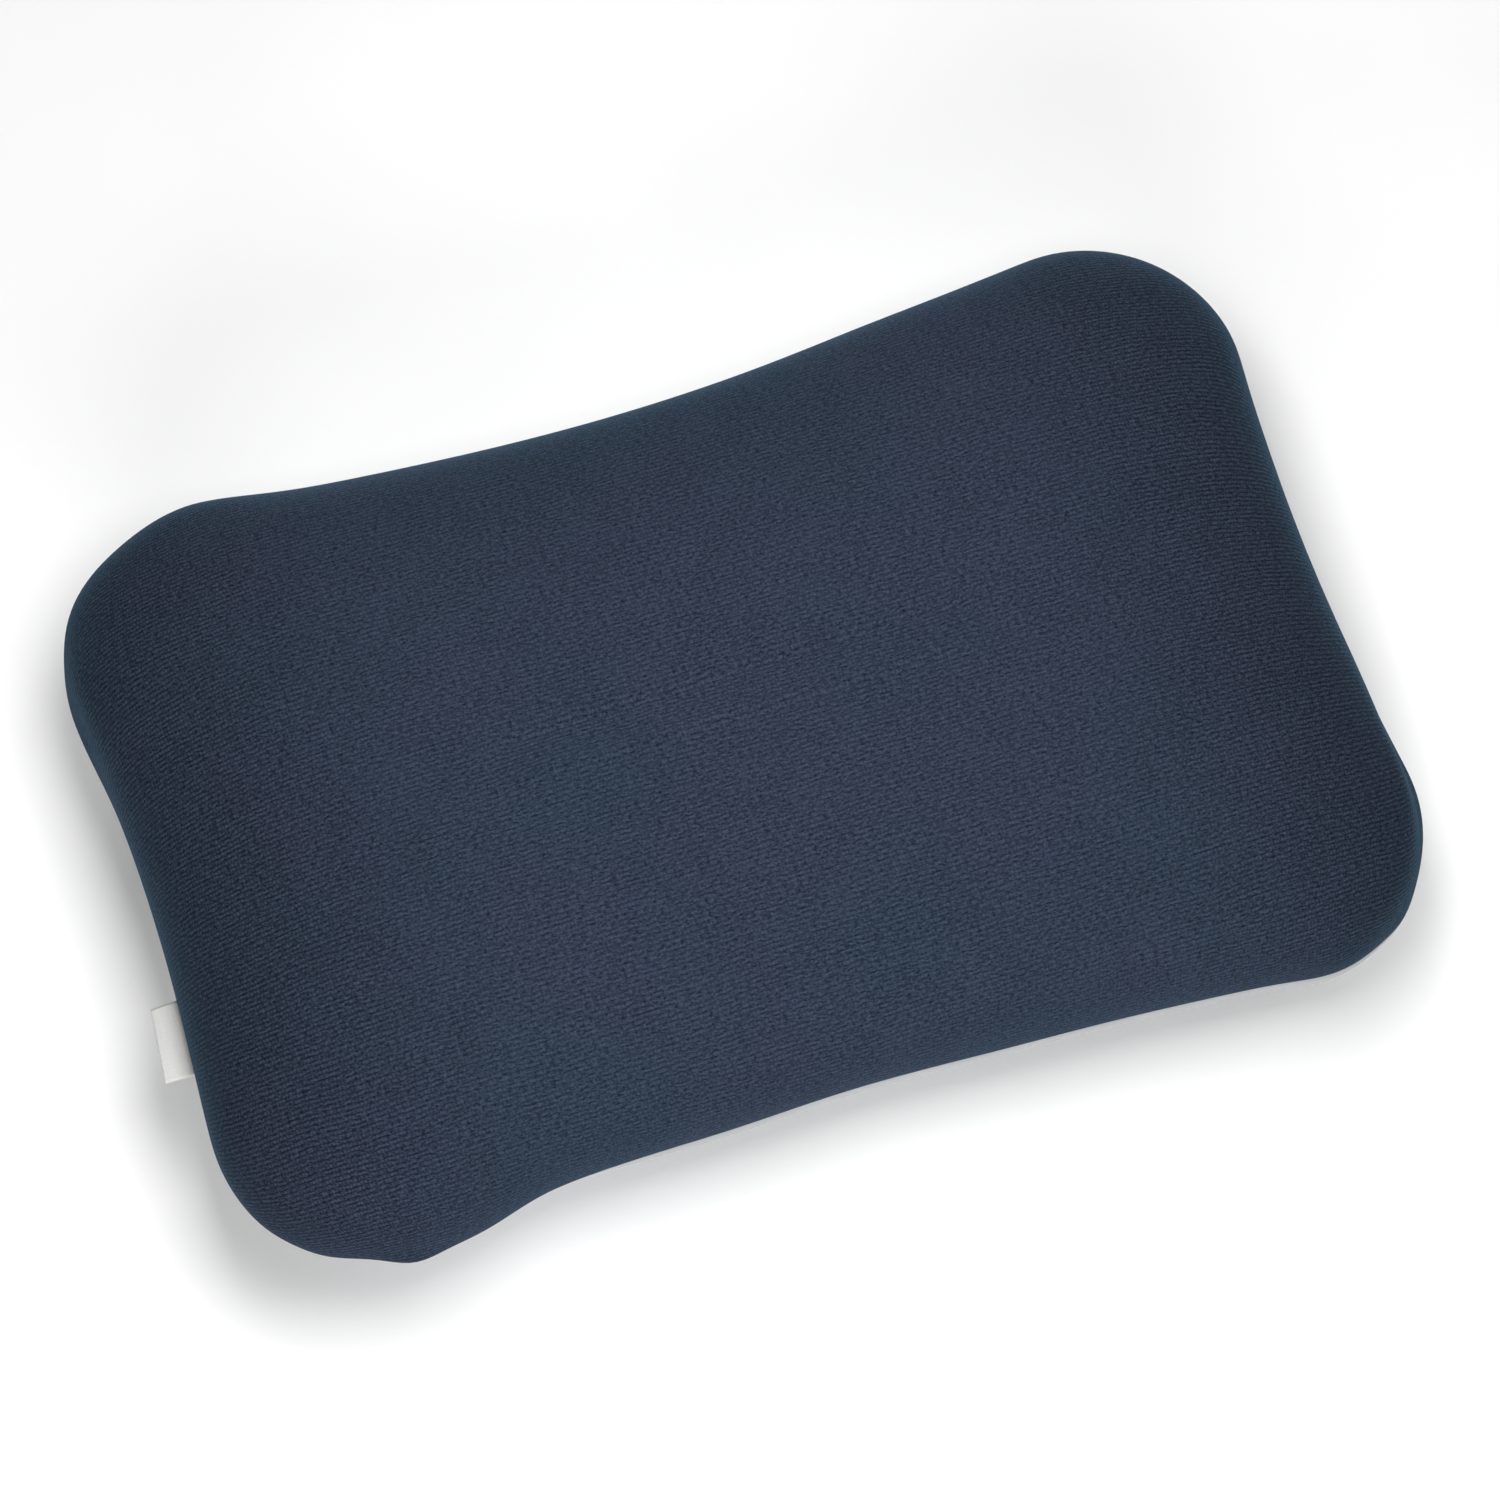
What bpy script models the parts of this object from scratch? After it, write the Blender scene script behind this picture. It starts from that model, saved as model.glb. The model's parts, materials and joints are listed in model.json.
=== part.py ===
"""Inflatable camp pillow: a padded two-piece cover over an air bladder with a flip-cap valve.

Metres, +Z up. The pillow lies on its underside. The origin is the centre of the flat patch that
it rests on, +X runs along its length and +Y across it. The valve is under the +X end, and the
label is in the seam of the -X end.
"""

from math import asin, cos, hypot, pi, sin

import bmesh
import bpy
from mathutils import Matrix, Vector

# Driving dimensions of the cushion
LENGTH = 0.420
WIDTH = 0.277
SEAM_Z = 0.048  # level of the seam, which is also the widest level
TOP_RISE = 0.052  # from the seam up to the crown
CORNER_R = 0.059
LONG_WAIST = 0.0131  # how far each long side draws in at its middle
SHORT_WAIST = 0.006
TOP_REACH = 0.118  # how far in from the seam the crown begins
TOP_POWER = 2.5  # superellipse exponent: 2 is an ellipse, more is fuller
UNDER_REACH = 0.112
UNDER_POWER = 2.0
UNDER_DEPTH = 0.051  # the underside would bulge this far, and rests flat at SEAM_Z

# Layers, from the outside inwards
GAP = 0.0004  # between neighbouring layers
SEAM_GAP = 0.00015  # from the seam's plane to each side of it
COVER_T = 0.0012
PADDING_T = 0.007
FILM_T = 0.0005
ALLOWANCE = 0.007  # the covers' edges turned in at the seam
THREAD_R = 0.0006
WELD_OUTER = 0.0093  # the bladder's weld rim, measured in from the seam line
WELD_INNER = 0.0133
PADDING_FOOT = 0.004  # the wadding starts this far above the seam

# Resolution of the soft shells
RING_POINTS = 48
SECTION_STEPS = 8

# Baffles
BAFFLE_T = 0.0006
BAFFLE_X = {"baffle_left": -0.070, "baffle_middle": 0.0, "baffle_right": 0.070}
BAFFLE_HOLE_R = 0.010
BAFFLE_HOLES_Y = (-0.050, 0.0, 0.050)

# Label
LABEL_LENGTH = 0.0265  # along the seam
LABEL_PROUD = 0.010
LABEL_TAIL = 0.0055
LABEL_Y = -0.0396
LABEL_LAYER = 0.0003
LABEL_FOLD_R = 0.00035

# Valve: radii, and heights above the lower cover's outer face
VALVE_INSET = 0.0335  # from the seam line to the valve's axis
FLANGE_R = 0.018
FLANGE_Z = -0.0055
COLLAR_R = 0.012
COLLAR_BORE_R = 0.0095
COLLAR_FOOT_Z = -0.0090
COLLAR_NECK_Z = 0.0022
COLLAR_TOP_Z = 0.0027
COLLAR_LIP_R = 0.0128
HOLE_R = 0.0125
PATCH_R = 0.0195
PATCH_T = 0.0006
TETHER_Z = (0.00125, 0.0019)
TETHER_R = (0.0123, 0.0145)
STRAP_WIDTH = 0.007
PLUG_HINGE = (0.0156, 0.00245)  # x and height of the fold in the plug's strap
STRAP_CLEAR = 0.0002  # from a strap's end to its fold
PLUG_RIM_R = 0.0128
PLUG_RIM_Z = (0.0030, 0.0043)
PLUG_STRAP_T = 0.0008
PLUG_SKIRT_R = (0.0092, 0.0084)  # at the rim and at the foot
PLUG_SKIRT_T = 0.0011
PLUG_FOOT_Z = -0.0045
PORT_R = 0.0042
PORT_WALL = 0.0012
HUB_R = 0.0018
HUB_T = 0.0010
STEM_HOLE_R = 0.0010
SPOKE_WIDTH = 0.0011
FLAP_R = 0.0062
FLAP_T = 0.0006
FLAP_GAP = 0.0003
STEM_R = 0.0007
BARB_R = 0.0013
BARB_Z = (-0.0019, -0.0009)
CAP_HINGE = (-0.0130, 0.00445)
CAP_Z = (0.0046, 0.0060)
CAP_R = 0.0070
CAP_PLUG_R = (0.0040, 0.0036)  # at the cap and at the foot
CAP_PLUG_T = 0.0009
CAP_FOOT_Z = 0.0012
CAP_STRAP_WIDTH = 0.005
TAB_LENGTH = 0.0045
TAB_WIDTH = 0.006
TURN_STEPS = 40

HALF_LENGTH = LENGTH / 2
HALF_WIDTH = WIDTH / 2
SPINE_X = HALF_LENGTH - HALF_WIDTH  # the cushion's medial line runs from -SPINE_X to SPINE_X
NARROWEST = HALF_WIDTH - LONG_WAIST  # the shortest way from the seam to that line


# --- Scene, collections and materials ---


def clear_scene():
    for obj in list(bpy.data.objects):
        bpy.data.objects.remove(obj, do_unlink=True)


def new_collection(name):
    collection = bpy.data.collections.new(name)
    bpy.context.scene.collection.children.link(collection)
    return collection


def principled(name, colour, roughness):
    material = bpy.data.materials.new(name)
    material.use_nodes = True
    shader = material.node_tree.nodes["Principled BSDF"]
    shader.inputs["Base Color"].default_value = (*colour, 1.0)
    shader.inputs["Roughness"].default_value = roughness
    shader.inputs["Metallic"].default_value = 0.0
    return material


def new_object(name, mesh, collection, material=None):
    obj = bpy.data.objects.new(name, mesh)
    collection.objects.link(obj)
    if material:
        mesh.materials.append(material)
    return obj


def make_cutter(obj):
    obj.hide_render = True
    obj.display_type = "WIRE"
    return obj


def boolean(obj, operation, other):
    modifier = obj.modifiers.new(f"{operation.lower()} {other.name}", "BOOLEAN")
    modifier.operation = operation
    modifier.object = other


def solidify(obj, thickness):
    modifier = obj.modifiers.new("thickness", "SOLIDIFY")
    modifier.thickness = thickness
    modifier.offset = -1.0
    modifier.use_even_offset = True


# --- The cushion's outline and profiles ---


def bowed(x, y):
    """Draws a point of the plain rounded rectangle in, most at the middle of each side."""
    pull_x = SHORT_WAIST / HALF_LENGTH * cos(pi * y / (2 * HALF_WIDTH)) ** 2
    pull_y = LONG_WAIST / HALF_WIDTH * cos(pi * x / (2 * HALF_LENGTH)) ** 2
    return x * (1 - pull_x), y * (1 - pull_y)


def quarter_point(along):
    """The plain rounded rectangle's first quarter: along runs from 0 at +X to 1 at +Y."""
    end_run = HALF_WIDTH - CORNER_R
    side_run = HALF_LENGTH - CORNER_R
    arc = pi / 2 * CORNER_R
    run = along * (end_run + arc + side_run)
    if run < end_run:
        return HALF_LENGTH, run
    if run < end_run + arc:
        turn = (run - end_run) / CORNER_R
        return side_run + CORNER_R * cos(turn), end_run + CORNER_R * sin(turn)
    return side_run - (run - end_run - arc), HALF_WIDTH


def outline():
    """RING_POINTS points of the seam line, anticlockwise from the +X end."""
    quarter = RING_POINTS // 4
    points = []
    for index in range(RING_POINTS):
        corner, step = divmod(index, quarter)
        along = step / quarter
        x, y = quarter_point(along if corner % 2 == 0 else 1 - along)
        x, y = bowed(x, y)
        points.append((x if corner in (0, 3) else -x, y if corner in (0, 1) else -y))
    return points


def ring(inset, z):
    """The seam line moved towards the medial line by inset, at height z."""
    share = inset / NARROWEST
    points = []
    for x, y in outline():
        spine_x = max(-SPINE_X, min(SPINE_X, x))
        points.append(Vector((x + (spine_x - x) * share, y * (1 - share), z)))
    return points


def profile(depth, reach, power, end):
    """(inset, rise) pairs along a superellipse, from the seam to where the rise is end."""
    last = asin((end / depth) ** (power / 2))
    pairs = []
    for step in range(SECTION_STEPS + 1):
        angle = last * step / SECTION_STEPS
        pairs.append((reach * (1 - cos(angle) ** (2 / power)), depth * sin(angle) ** (2 / power)))
    return pairs


def moved_in(pairs, distance, least_inset=0.0):
    """A profile moved inwards along its normals, and kept at least least_inset from the seam."""
    moved = [(max(distance, least_inset), 0.0)]
    for before, here, after in zip(pairs, pairs[1:], pairs[2:] + pairs[-1:]):
        run, climb = after[0] - before[0], after[1] - before[1]
        size = hypot(run, climb)
        inset = here[0] + distance * climb / size
        moved.append((max(inset, least_inset), here[1] - distance * run / size))
    return moved


TOP_PROFILE = profile(TOP_RISE, TOP_REACH, TOP_POWER, TOP_RISE)
UNDER_PROFILE = profile(UNDER_DEPTH, UNDER_REACH, UNDER_POWER, SEAM_Z)


def rings_up(pairs):
    return [ring(inset, SEAM_Z + rise) for inset, rise in pairs]


def rings_down(pairs):
    """Rings below the seam, listed from the lowest to the highest."""
    return [ring(inset, SEAM_Z - rise) for inset, rise in reversed(pairs)]


def loft(name, rings, collection, material=None, cap_bottom=False, cap_top=False):
    """Faces between rings listed from the bottom up, facing out."""
    shape = bmesh.new()
    rows = [[shape.verts.new(point) for point in points] for points in rings]
    for lower, upper in zip(rows, rows[1:]):
        for index in range(RING_POINTS):
            after = (index + 1) % RING_POINTS
            shape.faces.new((lower[index], lower[after], upper[after], upper[index]))
    if cap_bottom:
        shape.faces.new(reversed(rows[0]))
    if cap_top:
        shape.faces.new(rows[-1])
    mesh = bpy.data.meshes.new(name)
    shape.to_mesh(mesh)
    shape.free()
    mesh.shade_smooth()
    return new_object(name, mesh, collection, material)


# --- Cover, padding and bladder ---


def make_top_cover(parts, material):
    rings = [ring(ALLOWANCE, SEAM_Z + SEAM_GAP), ring(0.0, SEAM_Z + SEAM_GAP)]
    rings += rings_up(TOP_PROFILE[1:])
    cover = loft("top_cover", rings, parts, material, cap_top=True)
    solidify(cover, COVER_T)
    return cover


def make_bottom_cover(parts, material):
    rings = rings_down(UNDER_PROFILE[1:])
    rings += [ring(0.0, SEAM_Z - SEAM_GAP), ring(ALLOWANCE, SEAM_Z - SEAM_GAP)]
    cover = loft("bottom_cover", rings, parts, material, cap_bottom=True)
    solidify(cover, COVER_T)
    return cover


def make_seam_thread(parts, material):
    """The overlock thread, which wraps the allowances' raw edges all the way round."""
    points = ring(ALLOWANCE + THREAD_R + GAP, SEAM_Z)
    curve = bpy.data.curves.new("seam_thread", "CURVE")
    curve.dimensions = "3D"
    spline = curve.splines.new("POLY")
    spline.points.add(len(points) - 1)
    for point, place in zip(spline.points, points):
        point.co = (*place, 1.0)
    spline.use_cyclic_u = True
    curve.bevel_depth = THREAD_R
    curve.bevel_resolution = 1
    curve.materials.append(material)
    thread = bpy.data.objects.new("seam_thread", curve)
    parts.objects.link(thread)


def make_padding(parts, material):
    pairs = moved_in(TOP_PROFILE, COVER_T + GAP)
    (seam_inset, _), (inset, rise) = pairs[:2]
    foot = (seam_inset + (inset - seam_inset) * PADDING_FOOT / rise, PADDING_FOOT)
    padding = loft("padding_sheet", rings_up([foot] + pairs[1:]), parts, material, cap_top=True)
    solidify(padding, PADDING_T)


def bladder_profiles(extra):
    """The bladder's upper and lower profiles, moved in by extra from its outer face."""
    upper_in = COVER_T + PADDING_T + 2 * GAP + extra
    under_in = COVER_T + GAP + extra
    upper = moved_in(TOP_PROFILE, upper_in, WELD_INNER + extra)
    under = moved_in(UNDER_PROFILE, under_in, WELD_INNER + extra)
    return upper, under


def make_bladder(parts, material):
    """Two films, each with a flat rim where they are welded to each other."""
    upper, under = bladder_profiles(0.0)
    rim = FILM_T + SEAM_GAP
    rings = [ring(WELD_OUTER, SEAM_Z + rim), ring(WELD_INNER, SEAM_Z + rim)]
    top = loft("bladder_top", rings + rings_up(upper[1:]), parts, material, cap_top=True)
    solidify(top, FILM_T)
    rings = [ring(WELD_INNER, SEAM_Z - rim), ring(WELD_OUTER, SEAM_Z - rim)]
    bottom = loft("bladder_bottom", rings_down(under[1:]) + rings, parts, material, cap_bottom=True)
    solidify(bottom, FILM_T)
    return bottom


def make_air_space(cutters):
    """The bladder's inside, a little clear of its films, as a closed shape."""
    upper, under = bladder_profiles(FILM_T + GAP)
    rings = rings_down(under[1:]) + rings_up(upper[1:])
    return make_cutter(loft("air_space", rings, cutters, cap_bottom=True, cap_top=True))


def make_outer_space(name, distance, cutters):
    """The cushion's lower half, grown by distance, as a closed shape."""
    rings = rings_down(moved_in(UNDER_PROFILE, -distance))
    return make_cutter(loft(name, rings, cutters, cap_bottom=True, cap_top=True))


def make_box(name, low, high, collection, material=None):
    shape = bmesh.new()
    bmesh.ops.create_cube(shape, size=1.0)
    for vertex in shape.verts:
        for axis in range(3):
            vertex.co[axis] = high[axis] if vertex.co[axis] > 0 else low[axis]
    mesh = bpy.data.meshes.new(name)
    shape.to_mesh(mesh)
    shape.free()
    return new_object(name, mesh, collection, material)


def make_cylinder(name, radius, low, high, collection, material=None, segments=TURN_STEPS):
    """A cylinder on its object's own Z axis, from low to high."""
    shape = bmesh.new()
    bmesh.ops.create_cone(
        shape, cap_ends=True, segments=segments, radius1=radius, radius2=radius, depth=high - low
    )
    bmesh.ops.translate(shape, verts=shape.verts, vec=(0, 0, (low + high) / 2))
    mesh = bpy.data.meshes.new(name)
    shape.to_mesh(mesh)
    shape.free()
    return new_object(name, mesh, collection, material)


def make_baffles(parts, cutters, material, air_space):
    """Bands across the bladder that hold its films together, with holes for the air."""
    across = Matrix.Rotation(pi / 2, 4, "Y")
    for name, x in BAFFLE_X.items():
        low = (x - BAFFLE_T / 2, -HALF_WIDTH, 0.0)
        high = (x + BAFFLE_T / 2, HALF_WIDTH, SEAM_Z + TOP_RISE)
        baffle = make_box(name, low, high, parts, material)
        boolean(baffle, "INTERSECT", air_space)
        for number, y in enumerate(BAFFLE_HOLES_Y):
            reach = 5 * BAFFLE_T
            hole = make_cylinder(
                f"{name}_hole_{number}", BAFFLE_HOLE_R, -reach, reach, cutters, segments=16
            )
            hole.matrix_world = Matrix.Translation((x, y, SEAM_Z)) @ across
            boolean(baffle, "DIFFERENCE", make_cutter(hole))


# --- Label ---


def make_label(parts, cutters, material, covers):
    """A strip folded in half over its outer end, with both tails in the seam."""
    seam_x = -bowed(HALF_LENGTH, LABEL_Y)[0]
    tail_x = seam_x + LABEL_TAIL
    fold_x = seam_x - LABEL_PROUD + LABEL_FOLD_R
    turns = 6
    path = [(tail_x, SEAM_Z + LABEL_FOLD_R)]
    for step in range(turns + 1):
        angle = pi / 2 + pi * step / turns
        path.append((fold_x + LABEL_FOLD_R * cos(angle), SEAM_Z + LABEL_FOLD_R * sin(angle)))
    path.append((tail_x, SEAM_Z - LABEL_FOLD_R))
    shape = bmesh.new()
    rows = []
    for y in (LABEL_Y - LABEL_LENGTH / 2, LABEL_Y + LABEL_LENGTH / 2):
        rows.append([shape.verts.new((x, y, z)) for x, z in path])
    for index in range(len(path) - 1):
        near, far = rows[0], rows[1]
        shape.faces.new((near[index], near[index + 1], far[index + 1], far[index]))
    mesh = bpy.data.meshes.new("woven_label")
    shape.to_mesh(mesh)
    shape.free()
    label = new_object("woven_label", mesh, parts, material)
    modifier = label.modifiers.new("thickness", "SOLIDIFY")
    modifier.thickness = LABEL_LAYER
    modifier.offset = 0.0
    half_t = LABEL_FOLD_R + LABEL_LAYER / 2 + GAP
    low = (seam_x - LABEL_PROUD, LABEL_Y - LABEL_LENGTH / 2 - GAP, SEAM_Z - half_t)
    high = (tail_x + GAP, LABEL_Y + LABEL_LENGTH / 2 + GAP, SEAM_Z + half_t)
    slot = make_cutter(make_box("label_slot", low, high, cutters))
    for cover in covers:
        boolean(cover, "DIFFERENCE", slot)


# --- Valve ---


def valve_frame():
    """The valve's own frame: +Z out of the lower cover, +X towards the pillow's end."""
    steps = zip(UNDER_PROFILE, UNDER_PROFILE[1:])
    higher, lower = next(step for step in steps if step[1][0] > VALVE_INSET)
    high_point = ring(higher[0], SEAM_Z - higher[1])[0]
    low_point = ring(lower[0], SEAM_Z - lower[1])[0]
    along = (high_point - low_point).normalized()
    out = Vector((along.z, 0.0, -along.x))
    turn = Matrix((along, out.cross(along), out)).transposed().to_4x4()
    return Matrix.Translation((high_point + low_point) / 2) @ turn


def new_empty(name, collection, parent=None, location=(0.0, 0.0, 0.0)):
    empty = bpy.data.objects.new(name, None)
    collection.objects.link(empty)
    empty.empty_display_size = 0.01
    empty.parent = parent
    empty.location = location
    return empty


def turned(name, points, collection, material=None, closed=False):
    """A profile of (radius, z) points turned about Z. It runs down its outer side."""
    shape = bmesh.new()
    verts = [shape.verts.new((radius, 0.0, z)) for radius, z in points]
    for first, second in zip(verts, verts[1:] + (verts[:1] if closed else [])):
        shape.edges.new((first, second))
    mesh = bpy.data.meshes.new(name)
    shape.to_mesh(mesh)
    shape.free()
    obj = new_object(name, mesh, collection, material)
    screw = obj.modifiers.new("turn", "SCREW")
    screw.steps = TURN_STEPS
    screw.render_steps = TURN_STEPS
    screw.use_merge_vertices = True
    screw.merge_threshold = 0.00001
    return obj


def make_patch(parts, cutters, material, valve, hole):
    """The reinforcing ring bonded to the lower cover round the valve."""
    patch = make_cylinder("valve_patch", PATCH_R, -PATCH_R / 2, PATCH_R / 2, parts, material)
    patch.parent = valve
    boolean(patch, "INTERSECT", make_outer_space("patch_outside", GAP + PATCH_T, cutters))
    boolean(patch, "DIFFERENCE", make_outer_space("patch_inside", GAP, cutters))
    boolean(patch, "DIFFERENCE", hole)


def make_valve_base(parts, cutters, material, valve, air_space):
    """A flange shaped to the inside of the film, and the collar that the plug closes."""
    base = make_cylinder("valve_base", FLANGE_R, FLANGE_Z, FLANGE_R / 4, parts, material)
    base.parent = valve
    boolean(base, "INTERSECT", air_space)
    profile_points = [
        (0.0, COLLAR_TOP_Z),
        (COLLAR_LIP_R, COLLAR_TOP_Z),
        (COLLAR_LIP_R, COLLAR_NECK_Z),
        (COLLAR_R, COLLAR_NECK_Z),
        (COLLAR_R, COLLAR_FOOT_Z),
        (0.0, COLLAR_FOOT_Z),
    ]
    collar = make_cutter(turned("collar_solid", profile_points, cutters))
    collar.parent = valve
    boolean(base, "UNION", collar)
    bore = make_cutter(make_cylinder("collar_bore", COLLAR_BORE_R, -COLLAR_R, COLLAR_R, cutters))
    bore.parent = valve
    boolean(base, "DIFFERENCE", bore)


def make_strap(name, x_span, width, z_span, parent, cutters, location=(0.0, 0.0, 0.0)):
    """A strap's solid, to be joined to the piece that it belongs to."""
    low = (x_span[0], -width / 2, z_span[0])
    high = (x_span[1], width / 2, z_span[1])
    strap = make_cutter(make_box(name, low, high, cutters))
    strap.parent = parent
    strap.location = location
    return strap


def make_tether_ring(parts, cutters, material, valve):
    low, high = TETHER_Z
    inner, outer = TETHER_R
    section = [(outer, high), (outer, low), (inner, low), (inner, high)]
    ring_piece = turned("tether_ring", section, parts, material, closed=True)
    ring_piece.parent = valve
    span = ((inner + outer) / 2, PLUG_HINGE[0] - STRAP_CLEAR)
    thin = STRAP_CLEAR / 4
    strap = make_strap("tether_strap", span, STRAP_WIDTH, (low + thin, high - thin), valve, cutters)
    boolean(ring_piece, "UNION", strap)


def make_plug(parts, cutters, material, hinge, to_axis):
    """The wide plug: a rim, a tapered skirt, and the inflation port with its spoked seat."""
    rim_low, rim_high = PLUG_RIM_Z
    skirt_top_r, skirt_foot_r = PLUG_SKIRT_R
    port_outer = PORT_R + PORT_WALL
    web_z = rim_low - PLUG_SKIRT_T
    section = [
        (PLUG_RIM_R, rim_high),
        (PLUG_RIM_R, rim_low),
        (skirt_top_r, rim_low),
        (skirt_foot_r, PLUG_FOOT_Z),
        (skirt_foot_r - PLUG_SKIRT_T, PLUG_FOOT_Z),
        (skirt_top_r - PLUG_SKIRT_T, web_z),
        (port_outer, web_z),
        (port_outer, PLUG_FOOT_Z),
        (PORT_R, PLUG_FOOT_Z),
        (PORT_R, rim_high),
    ]
    plug = turned("deflate_plug", section, parts, material, closed=True)
    plug.parent = hinge
    plug.location = to_axis
    strap_z = (rim_low + STRAP_CLEAR / 4, rim_low + PLUG_STRAP_T)
    span = ((PORT_R + PLUG_RIM_R) / 2, PLUG_HINGE[0] - STRAP_CLEAR)
    strap = make_strap("plug_strap", span, STRAP_WIDTH, strap_z, hinge, cutters, to_axis)
    boolean(plug, "UNION", strap)
    hub_z = (PLUG_FOOT_Z + STRAP_CLEAR / 4, PLUG_FOOT_Z + HUB_T)
    hub = make_cylinder("port_hub", HUB_R, *hub_z, cutters, segments=16)
    hub_hole = make_cylinder("port_hub_hole", STEM_HOLE_R, 2 * PLUG_FOOT_Z, 0.0, cutters, segments=16)
    spoke_half = PORT_R + PORT_WALL / 2
    spokes = []
    for number in range(2):
        span = (-spoke_half, spoke_half)
        spoke = make_strap(f"port_spoke_{number}", span, SPOKE_WIDTH, hub_z, hinge, cutters, to_axis)
        spoke.rotation_euler.z = number * pi / 2
        spokes.append(spoke)
    for piece in (hub, hub_hole):
        make_cutter(piece).parent = hinge
        piece.location = to_axis
    for piece in spokes + [hub]:
        boolean(plug, "UNION", piece)
    boolean(plug, "DIFFERENCE", hub_hole)


def make_flap(parts, material, hinge, to_axis):
    """The one-way flap: a soft disc under the port, with a barbed stem through the hub."""
    top = PLUG_FOOT_Z - FLAP_GAP
    barb_low, barb_high = BARB_Z
    section = [
        (0.0, barb_high),
        (STEM_R, barb_high),
        (BARB_R, (barb_low + barb_high) / 2),
        (BARB_R, barb_low),
        (STEM_R, barb_low),
        (STEM_R, top),
        (FLAP_R, top),
        (FLAP_R, top - FLAP_T),
        (0.0, top - FLAP_T),
    ]
    flap = turned("check_flap", section, parts, material)
    flap.parent = hinge
    flap.location = to_axis


def make_cap(parts, cutters, material, hinge, to_axis):
    """The small cap: a disc with a hollow plug, its strap and a pull tab."""
    low, high = CAP_Z
    plug_top_r, plug_foot_r = CAP_PLUG_R
    roof = low - STRAP_CLEAR
    edge = (high - low) / 3
    section = [
        (0.0, high),
        (CAP_R - edge, high),
        (CAP_R, high - edge),
        (CAP_R, low),
        (plug_top_r, low),
        (plug_foot_r, CAP_FOOT_Z),
        (plug_foot_r - CAP_PLUG_T, CAP_FOOT_Z),
        (plug_top_r - CAP_PLUG_T, roof),
        (0.0, roof),
    ]
    cap = turned("inflate_cap", section, parts, material)
    cap.parent = hinge
    cap.location = to_axis
    strap_z = (low + STRAP_CLEAR / 4, low + (high - low) / 2)
    inside = CAP_R / 2
    span = (CAP_HINGE[0] + STRAP_CLEAR, -inside)
    strap = make_strap("cap_strap", span, CAP_STRAP_WIDTH, strap_z, hinge, cutters, to_axis)
    boolean(cap, "UNION", strap)
    span = (inside, CAP_R + TAB_LENGTH)
    tab = make_strap("cap_tab", span, TAB_WIDTH, strap_z, hinge, cutters, to_axis)
    boolean(cap, "UNION", tab)


def make_valve(parts, cutters, materials, air_space, cover, film):
    valve = new_empty("valve_axis", parts)
    valve.matrix_world = valve_frame()
    hole = make_cutter(make_cylinder("valve_hole", HOLE_R, -HOLE_R, HOLE_R, cutters))
    hole.parent = valve
    boolean(cover, "DIFFERENCE", hole)
    boolean(film, "DIFFERENCE", hole)
    make_patch(parts, cutters, materials["fabric"], valve, hole)
    make_valve_base(parts, cutters, materials["valve"], valve, air_space)
    make_tether_ring(parts, cutters, materials["cap"], valve)
    plug_x, plug_z = PLUG_HINGE
    cap_x, cap_z = CAP_HINGE
    plug_hinge = new_empty("plug_hinge", parts, valve, (plug_x, 0.0, plug_z))
    cap_hinge = new_empty("cap_hinge", parts, plug_hinge, (cap_x - plug_x, 0.0, cap_z - plug_z))
    make_plug(parts, cutters, materials["cap"], plug_hinge, (-plug_x, 0.0, -plug_z))
    make_flap(parts, materials["flap"], plug_hinge, (-plug_x, 0.0, -plug_z))
    make_cap(parts, cutters, materials["cap"], cap_hinge, (-cap_x, 0.0, -cap_z))


def build():
    clear_scene()
    parts = new_collection("camp_pillow")
    cutters = new_collection("cutters")
    materials = {
        "knit": principled("navy knit", (0.030, 0.042, 0.067), 0.95),
        "fabric": principled("light grey fabric", (0.45, 0.46, 0.48), 0.85),
        "thread": principled("navy thread", (0.025, 0.032, 0.050), 0.8),
        "label": principled("white woven tape", (0.86, 0.86, 0.84), 0.8),
        "wadding": principled("white wadding", (0.85, 0.85, 0.83), 0.95),
        "film": principled("grey bladder film", (0.35, 0.37, 0.40), 0.45),
        "valve": principled("grey moulded valve", (0.20, 0.21, 0.22), 0.45),
        "cap": principled("dark soft plastic", (0.035, 0.037, 0.042), 0.55),
        "flap": principled("clear silicone", (0.75, 0.76, 0.76), 0.35),
    }
    top_cover = make_top_cover(parts, materials["knit"])
    bottom_cover = make_bottom_cover(parts, materials["fabric"])
    make_seam_thread(parts, materials["thread"])
    make_label(parts, cutters, materials["label"], (top_cover, bottom_cover))
    make_padding(parts, materials["wadding"])
    film = make_bladder(parts, materials["film"])
    air_space = make_air_space(cutters)
    make_baffles(parts, cutters, materials["film"], air_space)
    make_valve(parts, cutters, materials, air_space, bottom_cover, film)


build()
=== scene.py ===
"""Looks of the inflatable camp pillow, in the frame of the CAD model.

Metres, +Z up, +X along the pillow and +Y across it. The cushion's covers, wadding, bladder, label
and valve patch are fine meshes that stand for the plain CAD solids. The moulded valve pieces are
the CAD's own, with rounded edges. Every material is procedural.
"""

import json
from math import cos, hypot, pi, radians, sin

import bmesh
import bpy
import numpy as np
from mathutils import Matrix, Vector
from mathutils.bvhtree import BVHTree


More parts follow.
